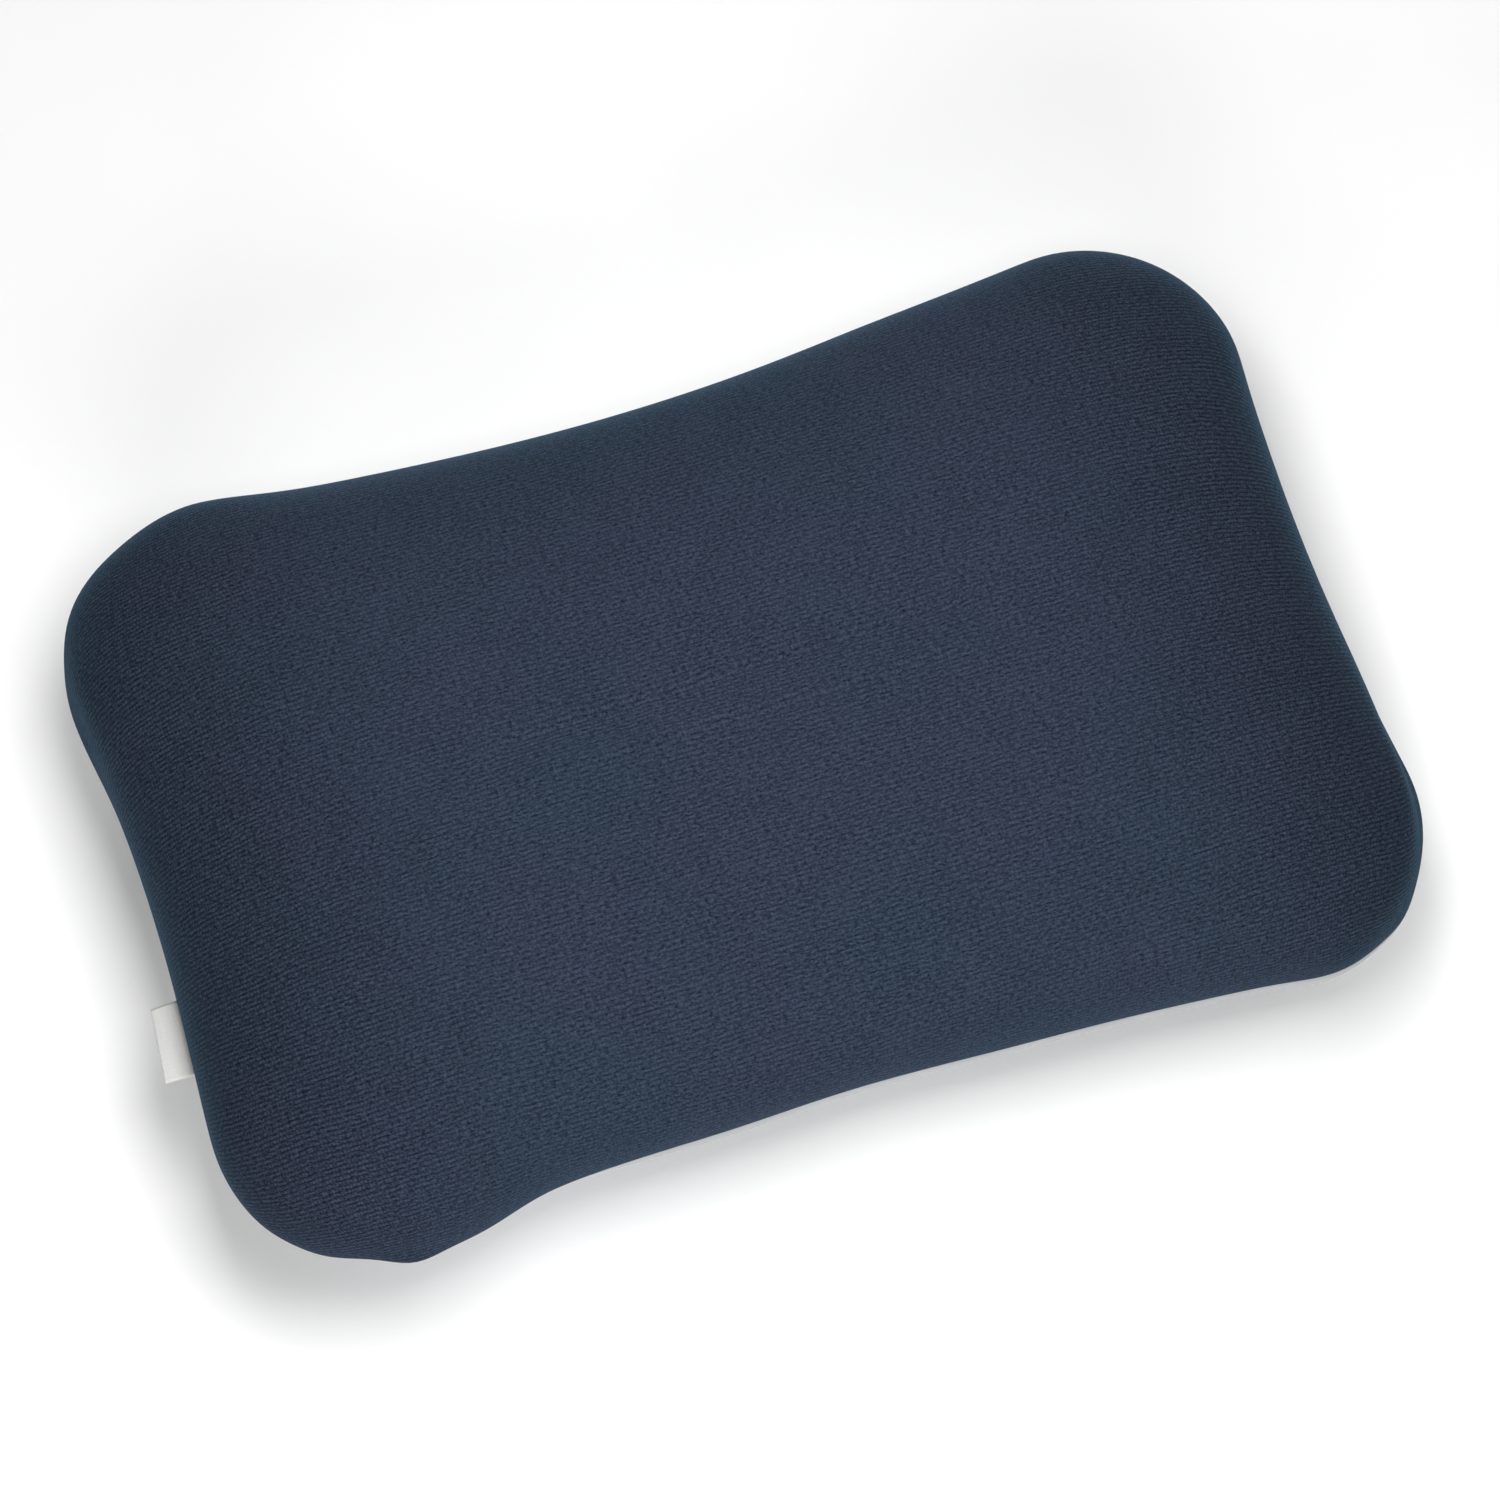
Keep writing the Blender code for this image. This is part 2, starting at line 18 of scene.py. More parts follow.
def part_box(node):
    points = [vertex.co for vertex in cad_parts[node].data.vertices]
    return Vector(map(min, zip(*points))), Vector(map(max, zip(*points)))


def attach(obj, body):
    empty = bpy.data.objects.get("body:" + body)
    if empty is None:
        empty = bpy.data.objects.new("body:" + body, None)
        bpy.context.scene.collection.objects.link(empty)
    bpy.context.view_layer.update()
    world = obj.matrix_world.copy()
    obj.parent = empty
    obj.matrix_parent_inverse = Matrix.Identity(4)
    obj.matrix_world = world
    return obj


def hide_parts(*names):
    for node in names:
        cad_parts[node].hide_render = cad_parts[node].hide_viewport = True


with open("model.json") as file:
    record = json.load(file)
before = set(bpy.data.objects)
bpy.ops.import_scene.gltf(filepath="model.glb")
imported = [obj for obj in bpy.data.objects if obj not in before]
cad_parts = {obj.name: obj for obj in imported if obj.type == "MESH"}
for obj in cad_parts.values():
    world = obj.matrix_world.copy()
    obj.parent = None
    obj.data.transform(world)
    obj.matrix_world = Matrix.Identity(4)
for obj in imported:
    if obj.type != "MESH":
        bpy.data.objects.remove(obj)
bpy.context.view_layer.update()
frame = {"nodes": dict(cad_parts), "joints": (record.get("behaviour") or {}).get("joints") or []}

# The cushion's form, as in the CAD model
LENGTH = 0.420
WIDTH = 0.277
CORNER_R = 0.059
LONG_WAIST = 0.0131  # how far each long side draws in at its middle
SHORT_WAIST = 0.006
TOP_REACH = 0.118  # how far in from the seam the crown begins
TOP_POWER = 2.5
UNDER_REACH = 0.112
UNDER_POWER = 2.0
UNDER_DEPTH = 0.051

SEAM_Z = (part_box("top_cover")[0].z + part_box("bottom_cover")[1].z) / 2
CROWN_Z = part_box("top_cover")[1].z
HALF_LENGTH = LENGTH / 2
HALF_WIDTH = WIDTH / 2
SPINE_X = HALF_LENGTH - HALF_WIDTH
NARROWEST = HALF_WIDTH - LONG_WAIST
CAP_INSET = 0.118  # where the rings end and a narrow cap closes each layer
EVEN_FROM = 0.085  # inset from which the rings even out, to close without folds

# Unevenness of the outline: place, push outwards and reach of each
PUSHES = (
    (-0.078, -0.128, -0.0026, 0.028),  # the near side draws in before its left ear
    (-0.108, -0.128, -0.0040, 0.024),
    (-0.163, -0.137, -0.0036, 0.018),
    (-0.185, -0.127, -0.0029, 0.020),
    (-0.204, -0.100, -0.0013, 0.022),
    (-0.209, 0.075, 0.0004, 0.024),
    (-0.200, 0.115, 0.0026, 0.024),
    (-0.150, 0.138, 0.0027, 0.025),
    (0.085, 0.131, 0.0006, 0.030),
    (0.208, 0.085, 0.0004, 0.016),
    (0.209, -0.085, -0.0024, 0.028),
    (0.192, -0.125, 0.0006, 0.020),
    (0.167, -0.138, 0.0021, 0.020),
    (0.045, -0.126, 0.0013, 0.040),
)
# Ears, where the seam stands proud of a corner as a flattened ridge
EARS = (
    (-0.158, -0.140, 0.0052, 0.010),
    (-0.210, 0.075, 0.0024, 0.026),
    (-0.186, -0.127, 0.0008, 0.008),
    (0.209, -0.085, 0.0042, 0.030),
    (0.188, -0.127, 0.0016, 0.010),
    (0.178, 0.133, 0.0010, 0.010),
)
EAR_REACH = 0.0055  # along the cover, from the seam
SEAM_PROUD = 0.0009  # all round, beyond the even seam line
# Crests, where a soft fold runs along the top cover a little way in from the seam
CRESTS = (
    (-0.210, 0.075, 0.0014, 0.026),
    (0.209, -0.085, 0.0024, 0.028),
    (0.190, -0.127, 0.0016, 0.016),
)
CREST_RUN = 0.021  # along the cover, from the seam
CREST_HALF = 0.0040  # how quickly a crest falls away on each side
# Tucks, where the lower cover goes in under the seam at a corner
TUCKS = (
    (-0.200, -0.110, -0.0035, 0.045),
    (-0.128, -0.135, -0.0045, 0.036),
    (0.215, -0.060, -0.0035, 0.040),
)
TUCK_RUN = 0.010  # where a tuck is deepest, along the cover
GROOVE_DEPTH = 0.0009  # the turned seam's furrow
GROOVE_REACH = 0.0022

# Layers. Each lies GAP inside the next
COVER_T = 0.0012
PADDING_T = 0.007
FILM_T = 0.0005
GAP = 0.0004
WELD_OUTER = 0.0093  # the films' flat weld, between these insets
WELD_INNER = 0.0133

# Resolution
PROFILE_POINTS = 2000  # along the curved part of a profile
LEVEL_POINTS = 200
PROFILE_NUDGE = 1e-4  # each way along a profile, to find its direction
AROUND = 240  # points round each ring, a multiple of four
LAYER_AROUND = 120  # the same, for the smooth inner layers
FINE_STEP = 0.0006  # first ring spacing at the seam; it grows to COARSE_STEP
COARSE_STEP = 0.0050
GROWTH = 1.35

# Cloth
SIM_FRAMES = 16
SIM_PRESSURE = 4.0
SIM_CAP = 0.0040  # no point moves further than this
SIM_QUALITY = 6  # steps per frame
CLOTH_MASS = 0.25
CLOTH_TENSION = 25.0
CLOTH_SHEAR = 12.0
CLOTH_BENDING = 1.5
CLOTH_DAMPING = 2.0
SIM_STEP = 0.0055  # ring spacing of the simulated mesh
EASE = 0.16  # share of the flat pattern's excess that the cover keeps
SEAM_HOLD = 0.35  # share of the simulated motion that the seam keeps
WAVE_POINTS = 9  # gathers are the waves shorter than about this many points of a ring
CORNER_X = (0.09, 0.17)  # a corner's share grows from none to all over these distances
CORNER_Y = (0.05, 0.11)

SEAM_FADE = 0.020  # how far from the seam the cover is quite free
REST_FADE = 0.006  # how high above the floor the lower cover is quite free

# Seam, label and valve
ALLOWANCE = 0.007  # width of the cloth turned in at the seam
ALLOWANCE_T = 0.0005
ALLOWANCE_GAP = 0.0001
THREAD_R = 0.00015
STITCHES_PER_SPAN = 2  # between two points of the seam line
STITCH_BITE = 0.0028  # half the width of the overlock's zigzag
STITCH_ON_CLOTH = 0.55  # how far its middle lies in from the raw edge, as a share of that
STITCH_RISE = 0.0009
PADDING_FOOT = 0.004  # how far from the seam the wadding ends
LABEL_PROUD = 0.010  # how far the label stands out of the seam
LABEL_LAYER = 0.0003
LABEL_FOLD_R = 0.00035
LABEL_CURL = 0.0011  # how far its free edge curls up and down
CURL_WAVE = (0.35, 0.9)  # the curl's start and length along the label, in half turns
LABEL_SKEW = 0.0022  # how unevenly its fold stands out, from one end to the other
SEAM_AT_LABEL_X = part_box("woven_label")[0].x + LABEL_PROUD
PLUG_HINGE = (0.0156, 0.00245)  # the hinge's place along +X and +Z of the valve's frame
HOLE_R = 0.0125
PATCH_R = 0.0195
PATCH_T = 0.0006
PATCH_ROUND = 0.0004
WELD_R = 0.0172  # the heat-pressed ring in the patch
WELD_HALF = 0.0006
WELD_DEPTH = 0.00022
VALVE_PRESS = 0.0005  # how far the valve's flange presses the lower cover in
VALVE_PRESS_REACH = 0.018
SHARP_ANGLE = 35.0  # degrees

# Cloths: dark and light thread colours, and pitches. Lengths in patterns are millimetres
PER_METRE = 1000.0
RIB_PITCH = 1.7
STITCH_PITCH = 1.3
KNIT_DARK = (0.004, 0.006, 0.012)
KNIT_LIGHT = (0.038, 0.050, 0.082)
KNIT_TEAL = (0.031, 0.050, 0.077)
KNIT_LINT = (0.11, 0.14, 0.17)
LINING = ((0.30, 0.31, 0.32), (0.40, 0.41, 0.42))
LINING_PITCH = 0.42
PATCH_FABRIC = ((0.22, 0.225, 0.235), (0.30, 0.31, 0.32))
PATCH_PITCH = 0.30
TAPE = ((0.52, 0.52, 0.51), (0.66, 0.66, 0.645))
TAPE_PITCH = 0.24
THREAD = ((0.014, 0.020, 0.034), (0.040, 0.052, 0.080))
WADDING = ((0.66, 0.66, 0.63), (0.88, 0.88, 0.86))

# Moulded parts and film: dark and light colours
FILM = ((0.29, 0.31, 0.34), (0.39, 0.41, 0.44))
VALVE_GREY = ((0.165, 0.175, 0.185), (0.215, 0.225, 0.235))
SOFT_BLACK = ((0.028, 0.030, 0.034), (0.042, 0.044, 0.050))
SILICONE = ((0.66, 0.67, 0.67), (0.76, 0.77, 0.77))
FLOOR = ((0.91, 0.91, 0.91), (0.94, 0.94, 0.94))

# Studio: the lights' powers are watts
WORLD_STRENGTH = 0.10
TOP_LIGHT = 4.3
FRONT_LIGHT = 17.0
BACK_LIGHT = 7.0
END_LIGHT = 2.2
FLOOR_HALF = 3.0
FLOOR_GAP = 0.0005
CAMERA_TURN = 18.43  # degrees from straight in front, towards -X
CAMERA_RISE = 68.75  # degrees above the floor
CAMERA_AWAY = 1.6
CAMERA_LENS = 113.9  # millimetres
CAMERA_SENSOR = 36.0
CAMERA_SHIFT = (0.0059, -0.0017)


# --- The cushion's surfaces ---


def quarter_point(along):
    """The plain rounded rectangle's first quarter: along runs from 0 at +X to 1 at +Y."""
    end_run = HALF_WIDTH - CORNER_R
    side_run = HALF_LENGTH - CORNER_R
    arc = pi / 2 * CORNER_R
    run = along * (end_run + arc + side_run)
    if run < end_run:
        return HALF_LENGTH, run
    if run < end_run + arc:
        turn = (run - end_run) / CORNER_R
        return side_run + CORNER_R * cos(turn), end_run + CORNER_R * sin(turn)
    return side_run - (run - end_run - arc), HALF_WIDTH


def plain_seam(count=AROUND):
    """Points of the even seam line, anticlockwise from the +X end, as a (count, 2) array."""
    quarter = count // 4
    points = np.empty((count, 2))
    for index in range(count):
        corner, step = divmod(index, quarter)
        along = step / quarter
        x, y = quarter_point(along if corner % 2 == 0 else 1 - along)
        pull_x = SHORT_WAIST / HALF_LENGTH * cos(pi * y / WIDTH) ** 2
        pull_y = LONG_WAIST / HALF_WIDTH * cos(pi * x / LENGTH) ** 2
        sign_x = 1 if corner in (0, 3) else -1
        sign_y = 1 if corner in (0, 1) else -1
        points[index] = sign_x * x * (1 - pull_x), sign_y * y * (1 - pull_y)
    return points


def outward_of(seam):
    """Outward unit directions along a seam line."""
    along = np.roll(seam, -1, axis=0) - np.roll(seam, 1, axis=0)
    outward = np.column_stack([along[:, 1], -along[:, 0]])
    return outward / np.linalg.norm(outward, axis=1, keepdims=True)


def pushes(seam, places):
    """The sum of the given outward pushes along a seam line, each a bell round its place."""
    outward = outward_of(seam)
    total = np.zeros_like(seam)
    for x, y, push, reach in places:
        distance = np.hypot(seam[:, 0] - x, seam[:, 1] - y)
        nearest = outward[np.argmin(distance)]
        total += np.exp(-((distance / reach) ** 2))[:, None] * nearest * push
    return total


def seam_line(count=AROUND):
    """The seam line with its unevenness."""
    seam = plain_seam(count)
    return seam + pushes(seam, PUSHES) + outward_of(seam) * SEAM_PROUD


def medial(points):
    """The nearest points of the cushion's medial line."""
    return np.column_stack([np.clip(points[:, 0], -SPINE_X, SPINE_X), np.zeros(len(points))])


def inward(seam, insets):
    """Offsets from the medial line at each inset. Near the cap they even out to rounded ends."""
    offsets = seam - medial(seam)
    even = offsets / np.linalg.norm(offsets, axis=1, keepdims=True) * NARROWEST
    evenness = eased(insets, EVEN_FROM, CAP_INSET)[:, None, None]
    left = (1 - insets / NARROWEST)[:, None, None]
    return left * (offsets + evenness * (even - offsets))


class Profile:
    """A superellipse from the seam to where its rise is end, and level from there to the cap.

    Places on it are measured along its length."""

    def __init__(self, depth, reach, power, end):
        last = np.arcsin((end / depth) ** (power / 2))
        angle = last * np.linspace(0, 1, PROFILE_POINTS)
        self.inset = reach * (1 - np.cos(angle) ** (2 / power))
        self.rise = depth * np.sin(angle) ** (2 / power)
        curve_end = self.inset[-1]
        level = np.linspace(curve_end, max(curve_end, CAP_INSET), LEVEL_POINTS)[1:]
        self.inset = np.concatenate([self.inset, level])
        self.rise = np.concatenate([self.rise, np.full(len(level), self.rise[-1])])
        steps = np.hypot(np.diff(self.inset), np.diff(self.rise))
        self.run = np.concatenate([[0.0], np.cumsum(steps)])
        self.length = self.run[-1]

    def at(self, run, depth_in=0.0):
        """Inset and rise at a distance along the profile, moved in along its normal."""
        inset = np.interp(run, self.run, self.inset)
        rise = np.interp(run, self.run, self.rise)
        ahead = np.minimum(run + PROFILE_NUDGE, self.length)
        behind = np.maximum(run - PROFILE_NUDGE, 0.0)
        across = np.interp(ahead, self.run, self.inset) - np.interp(behind, self.run, self.inset)
        climb = np.interp(ahead, self.run, self.rise) - np.interp(behind, self.run, self.rise)
        size = np.hypot(across, climb)
        return inset + depth_in * climb / size, rise - depth_in * across / size


TOP = Profile(CROWN_Z - SEAM_Z, TOP_REACH, TOP_POWER, CROWN_Z - SEAM_Z)
UNDER = Profile(UNDER_DEPTH, UNDER_REACH, UNDER_POWER, SEAM_Z)


def surface(profile, runs, side, seam, depth_in=0.0, least_inset=0.0):
    """Points of a cover, as a (rings, around, 3) array. side is 1 above the seam and -1 below."""
    inset, rise = profile.at(np.asarray(runs), depth_in)
    plan = medial(seam) + inward(seam, np.maximum(inset, least_inset))
    height = np.broadcast_to((SEAM_Z + side * rise)[:, None, None], plan.shape[:2] + (1,))
    return np.concatenate([plan, height], axis=2)


def flat_pattern(profile, runs, seam):
    """Where each point of a cover lies in its flat pattern, as a (rings, around, 2) array.

    The pattern is laid out from the medial line, so its grain follows the cushion's length."""
    runs = np.asarray(runs)
    inset, _ = profile.at(runs)
    out_in_plan = NARROWEST - inset
    out_in_cloth = profile.length - runs + NARROWEST - profile.inset[-1]
    stretch = (out_in_cloth / out_in_plan)[:, None, None]
    return medial(seam) + inward(seam, inset) * stretch


def graded_runs(length):
    """Distances from the seam along a profile, close together at the seam."""
    runs, step = [0.0], FINE_STEP
    while runs[-1] + step < length:
        runs.append(runs[-1] + step)
        step = min(step * GROWTH, COARSE_STEP)
    runs[-1] = length
    return np.array(runs)


def even_runs(length, step):
    """Distances from the seam along a profile, about a step apart."""
    return np.linspace(0.0, length, max(2, round(length / step) + 1))


def ring_faces(rings, around=AROUND, flip=False):
    """Quads between the rings of a (rings, around) grid, and crosswise strips inside the last."""
    faces = []
    for ring in range(rings - 1):
        for index in range(around):
            after = (index + 1) % around
            low, high = ring * around, (ring + 1) * around
            faces.append((low + index, low + after, high + after, high + index))
    last = (rings - 1) * around
    half = around // 2
    faces.append((last, last + 1, last + around - 1))
    for index in range(1, half - 1):
        far = around - index
        faces.append((last + index, last + index + 1, last + far - 1, last + far))
    faces.append((last + half - 1, last + half, last + half + 1))
    return [face[::-1] for face in faces] if flip else faces


def new_piece(name, points, faces, smooth=True):
    """A mesh object in the scene, from its points and faces."""
    mesh = bpy.data.meshes.new(name)
    mesh.from_pydata([tuple(point) for point in points], [], faces)
    mesh.update()
    if smooth:
        mesh.shade_smooth()
    piece = bpy.data.objects.new(name, mesh)
    bpy.context.scene.collection.objects.link(piece)
    return piece


def add_vectors(piece, name, values):
    """Stores a vector for each point of the piece's mesh, which its material reads."""
    attribute = piece.data.attributes.new(name, "FLOAT_VECTOR", "POINT")
    flat = np.zeros((len(piece.data.vertices), 3), np.float32)
    flat[:, : values.shape[-1]] = values.reshape(-1, values.shape[-1])
    attribute.data.foreach_set("vector", flat.ravel())


def apply_modifiers(piece):
    """Replaces the piece's mesh by what its modifiers make of it."""
    graph = bpy.context.evaluated_depsgraph_get()
    made = bpy.data.meshes.new_from_object(
        piece.evaluated_get(graph), preserve_all_data_layers=True, depsgraph=graph
    )
    piece.modifiers.clear()
    piece.data = made


def thicken(piece, thickness, offset=-1.0):
    """Adds thickness to a sheet: inwards at an offset of -1, outwards at 1, half each way at 0."""
    solidify = piece.modifiers.new("thickness", "SOLIDIFY")
    solidify.thickness = thickness
    solidify.offset = offset
    apply_modifiers(piece)


# --- Cloth simulation ---


def simulate(seam, top_runs, under_runs):
    """Inflates both covers, sewn at the seam, and returns how far each point of each moves.

    The cloth's rest shape keeps a little of the flat pattern's excess, so it gathers at the
    corners, where a flat panel has too much cloth for the seam."""
    top = surface(TOP, top_runs, 1, seam)
    under = surface(UNDER, under_runs, -1, seam)
    rings_top, rings_under = len(top_runs), len(under_runs)
    points = np.concatenate([top.reshape(-1, 3), under[1:].reshape(-1, 3)])
    faces = ring_faces(rings_top)
    shift = (rings_top - 1) * AROUND  # the lower cover's rings follow the upper's, and share ring 0
    for face in ring_faces(rings_under, flip=True):
        faces.append(tuple(index + shift if index >= AROUND else index for index in face))
    body = new_piece("cover_simulation", points, faces)
    slack = np.concatenate(
        [
            slackened(top, TOP, top_runs, seam).reshape(-1, 3),
            slackened(under, UNDER, under_runs, seam)[1:].reshape(-1, 3),
        ]
    )
    body.shape_key_add(name="Basis")
    rest = body.shape_key_add(name="rest")
    rest.data.foreach_set("co", slack.astype(np.float32).ravel())
    cloth = body.modifiers.new("cloth", "CLOTH")
    settings = cloth.settings
    settings.quality = SIM_QUALITY
    settings.mass = CLOTH_MASS
    settings.tension_stiffness = settings.compression_stiffness = CLOTH_TENSION
    settings.shear_stiffness = CLOTH_SHEAR
    settings.bending_stiffness = CLOTH_BENDING
    settings.use_pressure = True
    settings.uniform_pressure_force = SIM_PRESSURE
    settings.effector_weights.gravity = 0.0
    settings.rest_shape_key = rest
    settings.air_damping = CLOTH_DAMPING
    cloth.collision_settings.use_collision = False
    cloth.point_cache.frame_start = 1
    cloth.point_cache.frame_end = SIM_FRAMES
    scene = bpy.context.scene
    for number in range(1, SIM_FRAMES + 1):
        scene.frame_set(number)
    moved = body.evaluated_get(bpy.context.evaluated_depsgraph_get()).to_mesh()
    after = np.empty(len(points) * 3, np.float32)
    moved.vertices.foreach_get("co", after)
    shifts = after.reshape(-1, 3).astype(float) - points
    scene.frame_set(1)
    bpy.data.objects.remove(body, do_unlink=True)
    top_shift = shifts[: rings_top * AROUND].reshape(rings_top, AROUND, 3)
    under_shift = np.concatenate([shifts[:AROUND], shifts[rings_top * AROUND :]])
    return top_shift, under_shift.reshape(rings_under, AROUND, 3)


def slackened(points, profile, runs, seam):
    """The surface with EASE of the flat pattern's extra size round each ring."""
    flat = flat_pattern(profile, runs, seam)
    plan = points[:, :, :2]
    slack = points.copy()
    slack[:, :, :2] = plan + EASE * (flat - plan)
    return slack


def eased(values, low, high):
    """0 below low, 1 above high, and smooth between."""
    share = np.clip((values - low) / (high - low), 0, 1)
    return share * share * (3 - 2 * share)


def corner_share(seam):
    """1 at the corners of a seam line, and 0 along the middles of its sides."""
    return eased(abs(seam[:, 0]), *CORNER_X) * eased(abs(seam[:, 1]), *CORNER_Y)


def gathers_of(shifts, seam):
    """The short waves of the shifts round each ring at the corners, none longer than SIM_CAP.

    The long waves would change the cushion's measured form, so they are taken out."""
    places = np.arange(AROUND)
    nearness = np.exp(-((np.minimum(places, AROUND - places) / WAVE_POINTS) ** 2))
    weights = np.fft.fft(nearness / nearness.sum())[None, :, None]
    broad = np.real(np.fft.ifft(np.fft.fft(shifts, axis=1) * weights, axis=1))
    short = (shifts - broad) * corner_share(seam)[None, :, None]
    size = np.linalg.norm(short, axis=2, keepdims=True)
    return short * SIM_CAP / np.maximum(SIM_CAP, size)


def resampled(shifts, from_runs, to_runs):
    """Shifts of one set of rings, at another set."""
    rows = np.interp(to_runs, from_runs, np.arange(len(from_runs)))
    low = np.minimum(rows.astype(int), len(from_runs) - 2)
    share = (rows - low)[:, None, None]
    return shifts[low] * (1 - share) + shifts[low + 1] * share


# --- Covers ---


def normals_of(grid):
    """Outward normals of a (rings, around, 3) grid that runs in from the seam."""
    along = np.gradient(grid, axis=0)
    around = (np.roll(grid, -1, axis=1) - np.roll(grid, 1, axis=1)) / 2
    normals = np.cross(around, along)
    return normals / np.maximum(np.linalg.norm(normals, axis=2, keepdims=True), 1e-12)


def detail_seam(grid, runs, seam, side):
    """Furrows the cover beside the seam, and shapes the ears, crests and tucks of the corners."""
    near = np.exp(-runs / GROOVE_REACH)[:, None, None]
    grid = grid - side * normals_of(grid) * GROOVE_DEPTH * near
    grid = grid + flat_push(seam, EARS) * np.exp(-((runs / EAR_REACH) ** 2))[:, None, None]
    if side > 0:
        fold = np.exp(-abs(runs - CREST_RUN) / CREST_HALF)[:, None, None]
        return grid + flat_push(seam, CRESTS) * fold
    tuck = runs / TUCK_RUN * np.exp(1 - runs / TUCK_RUN)
    return grid + flat_push(seam, TUCKS) * tuck[:, None, None]


def flat_push(seam, places):
    """The outward pushes along a seam line, as level 3-D vectors."""
    return np.column_stack([pushes(seam, places), np.zeros(len(seam))])


def valve_frame():
    """The valve's frame: +Z out of the lower cover, +X towards the pillow's end."""
    joints = {joint["name"]: joint for joint in frame["joints"]}
    out = -Vector(joints["flap_lift"]["axis"])
    along = Vector((-out.z, 0.0, out.x))
    hinge = Vector(joints["plug_hinge"]["pos_m"])
    turn = Matrix((along, out.cross(along), out)).transposed().to_4x4()
    return Matrix.Translation(hinge - along * PLUG_HINGE[0] - out * PLUG_HINGE[1]) @ turn


def flatten_under_valve(points):
    """Presses the lower cover in a little round the valve, whose stiff flange it lies on."""
    valve = np.array(VALVE)
    centre, out = valve[:3, 3], valve[:3, 2]
    away = points - centre
    across = np.linalg.norm(away - (away @ out)[..., None] * out, axis=-1, keepdims=True)
    return points - out * VALVE_PRESS * np.exp(-((across / VALVE_PRESS_REACH) ** 2))


def still_parts(grid):
    """1 where the lower cover is free to move, and 0 where it rests or carries the valve."""
    centre = np.array(VALVE.translation)
    from_valve = np.linalg.norm(grid - centre, axis=2)
    free = np.clip((from_valve - PATCH_R) / PATCH_R, 0, 1)
    lifted = np.clip(grid[:, :, 2] / REST_FADE, 0, 1)
    return (free * lifted)[:, :, None]


def make_cover(name, profile, side, seam, shifts, sim_runs):
    """A cover with its gathers and details. Returns it with its rings' places and points."""
    runs = graded_runs(profile.length)
    grid = surface(profile, runs, side, seam)
    near_seam = np.clip(runs / SEAM_FADE, 0, 1)[:, None, None]
    moves = resampled(shifts, sim_runs, runs) * (SEAM_HOLD + (1 - SEAM_HOLD) * near_seam)
    if side < 0:
        moves = moves * still_parts(grid)
    grid = detail_seam(grid + moves, runs, seam, side)
    if side < 0:
        grid = flatten_under_valve(grid)
        grid[:, :, 2] = np.maximum(grid[:, :, 2], 0.0)
    cover = new_piece(name, grid.reshape(-1, 3), ring_faces(len(runs), flip=side < 0))
    flat = flat_pattern(profile, runs, seam)
    add_vectors(cover, "cloth", flat * PER_METRE)
    finer = cover.modifiers.new("finer", "SUBSURF")
    finer.levels = finer.render_levels = 1
    finer.boundary_smooth = "PRESERVE_CORNERS"
    thicken(cover, COVER_T)
    return cover, runs, grid


def make_film(name, profile, side, depth_in):
    """A bladder film: the cover's form moved in by depth_in, with the flat rim of the weld."""
    seam = plain_seam(LAYER_AROUND)
    runs = even_runs(profile.length, COARSE_STEP)
    grid = surface(profile, runs, side, seam, depth_in, WELD_INNER)
    rise = side * (FILM_T + GAP / 2)
    insets = (WELD_OUTER, (WELD_OUTER + WELD_INNER) / 2, WELD_INNER)
    rim = [rim_ring(seam, inset, rise) for inset in insets]
    grid = np.concatenate([np.array(rim), grid[1:]])
    faces = ring_faces(len(grid), LAYER_AROUND, flip=side < 0)
    layer = new_piece(name, grid.reshape(-1, 3), faces)
    add_vectors(layer, "cloth", grid[:, :, :2] * PER_METRE)
    thicken(layer, FILM_T)
    return layer


def make_padding(runs, cover_grid):
    """The wadding: its outer face lies in the cover, and its inner face on the bladder."""
    clear_of_seam = runs > PADDING_FOOT
    outer = (cover_grid - normals_of(cover_grid) * (COVER_T + GAP))[clear_of_seam]
    depth = COVER_T + GAP + PADDING_T
    inner = surface(TOP, runs[clear_of_seam], 1, plain_seam(), depth)
    count = len(outer)
    shift = count * AROUND
    faces = ring_faces(count)
    faces += [tuple(index + shift for index in face) for face in ring_faces(count, flip=True)]
    for index in range(AROUND):
        after = (index + 1) % AROUND
        faces.append((index + shift, after + shift, after, index))
    points = np.concatenate([outer.reshape(-1, 3), inner.reshape(-1, 3)])
    padding = new_piece("wadding_sheet", points, faces)
    add_vectors(padding, "cloth", points[:, :2] * PER_METRE)
    return padding


def rim_ring(seam, inset, rise):
    """A ring at an inset from the seam line, level, at a height above the seam."""
    plan = seam + (medial(seam) - seam) * inset / NARROWEST
    return np.column_stack([plan, np.full(len(plan), SEAM_Z + rise)])


def cut_valve_hole(cover):
    """Cuts the round hole that the valve's collar passes through."""
    shape = bmesh.new()
    bmesh.ops.create_cone(
        shape, cap_ends=True, segments=96, radius1=HOLE_R, radius2=HOLE_R, depth=2 * HOLE_R
    )
    mesh = bpy.data.meshes.new("valve_hole")
    shape.to_mesh(mesh)
    shape.free()
    cutter = bpy.data.objects.new("valve_hole", mesh)
    bpy.context.scene.collection.objects.link(cutter)
    cutter.matrix_world = VALVE
    modifier = cover.modifiers.new("valve hole", "BOOLEAN")
    modifier.operation = "DIFFERENCE"
    modifier.object = cutter
    apply_modifiers(cover)
    bpy.data.objects.remove(cutter, do_unlink=True)


# --- Small sewn and bonded parts ---


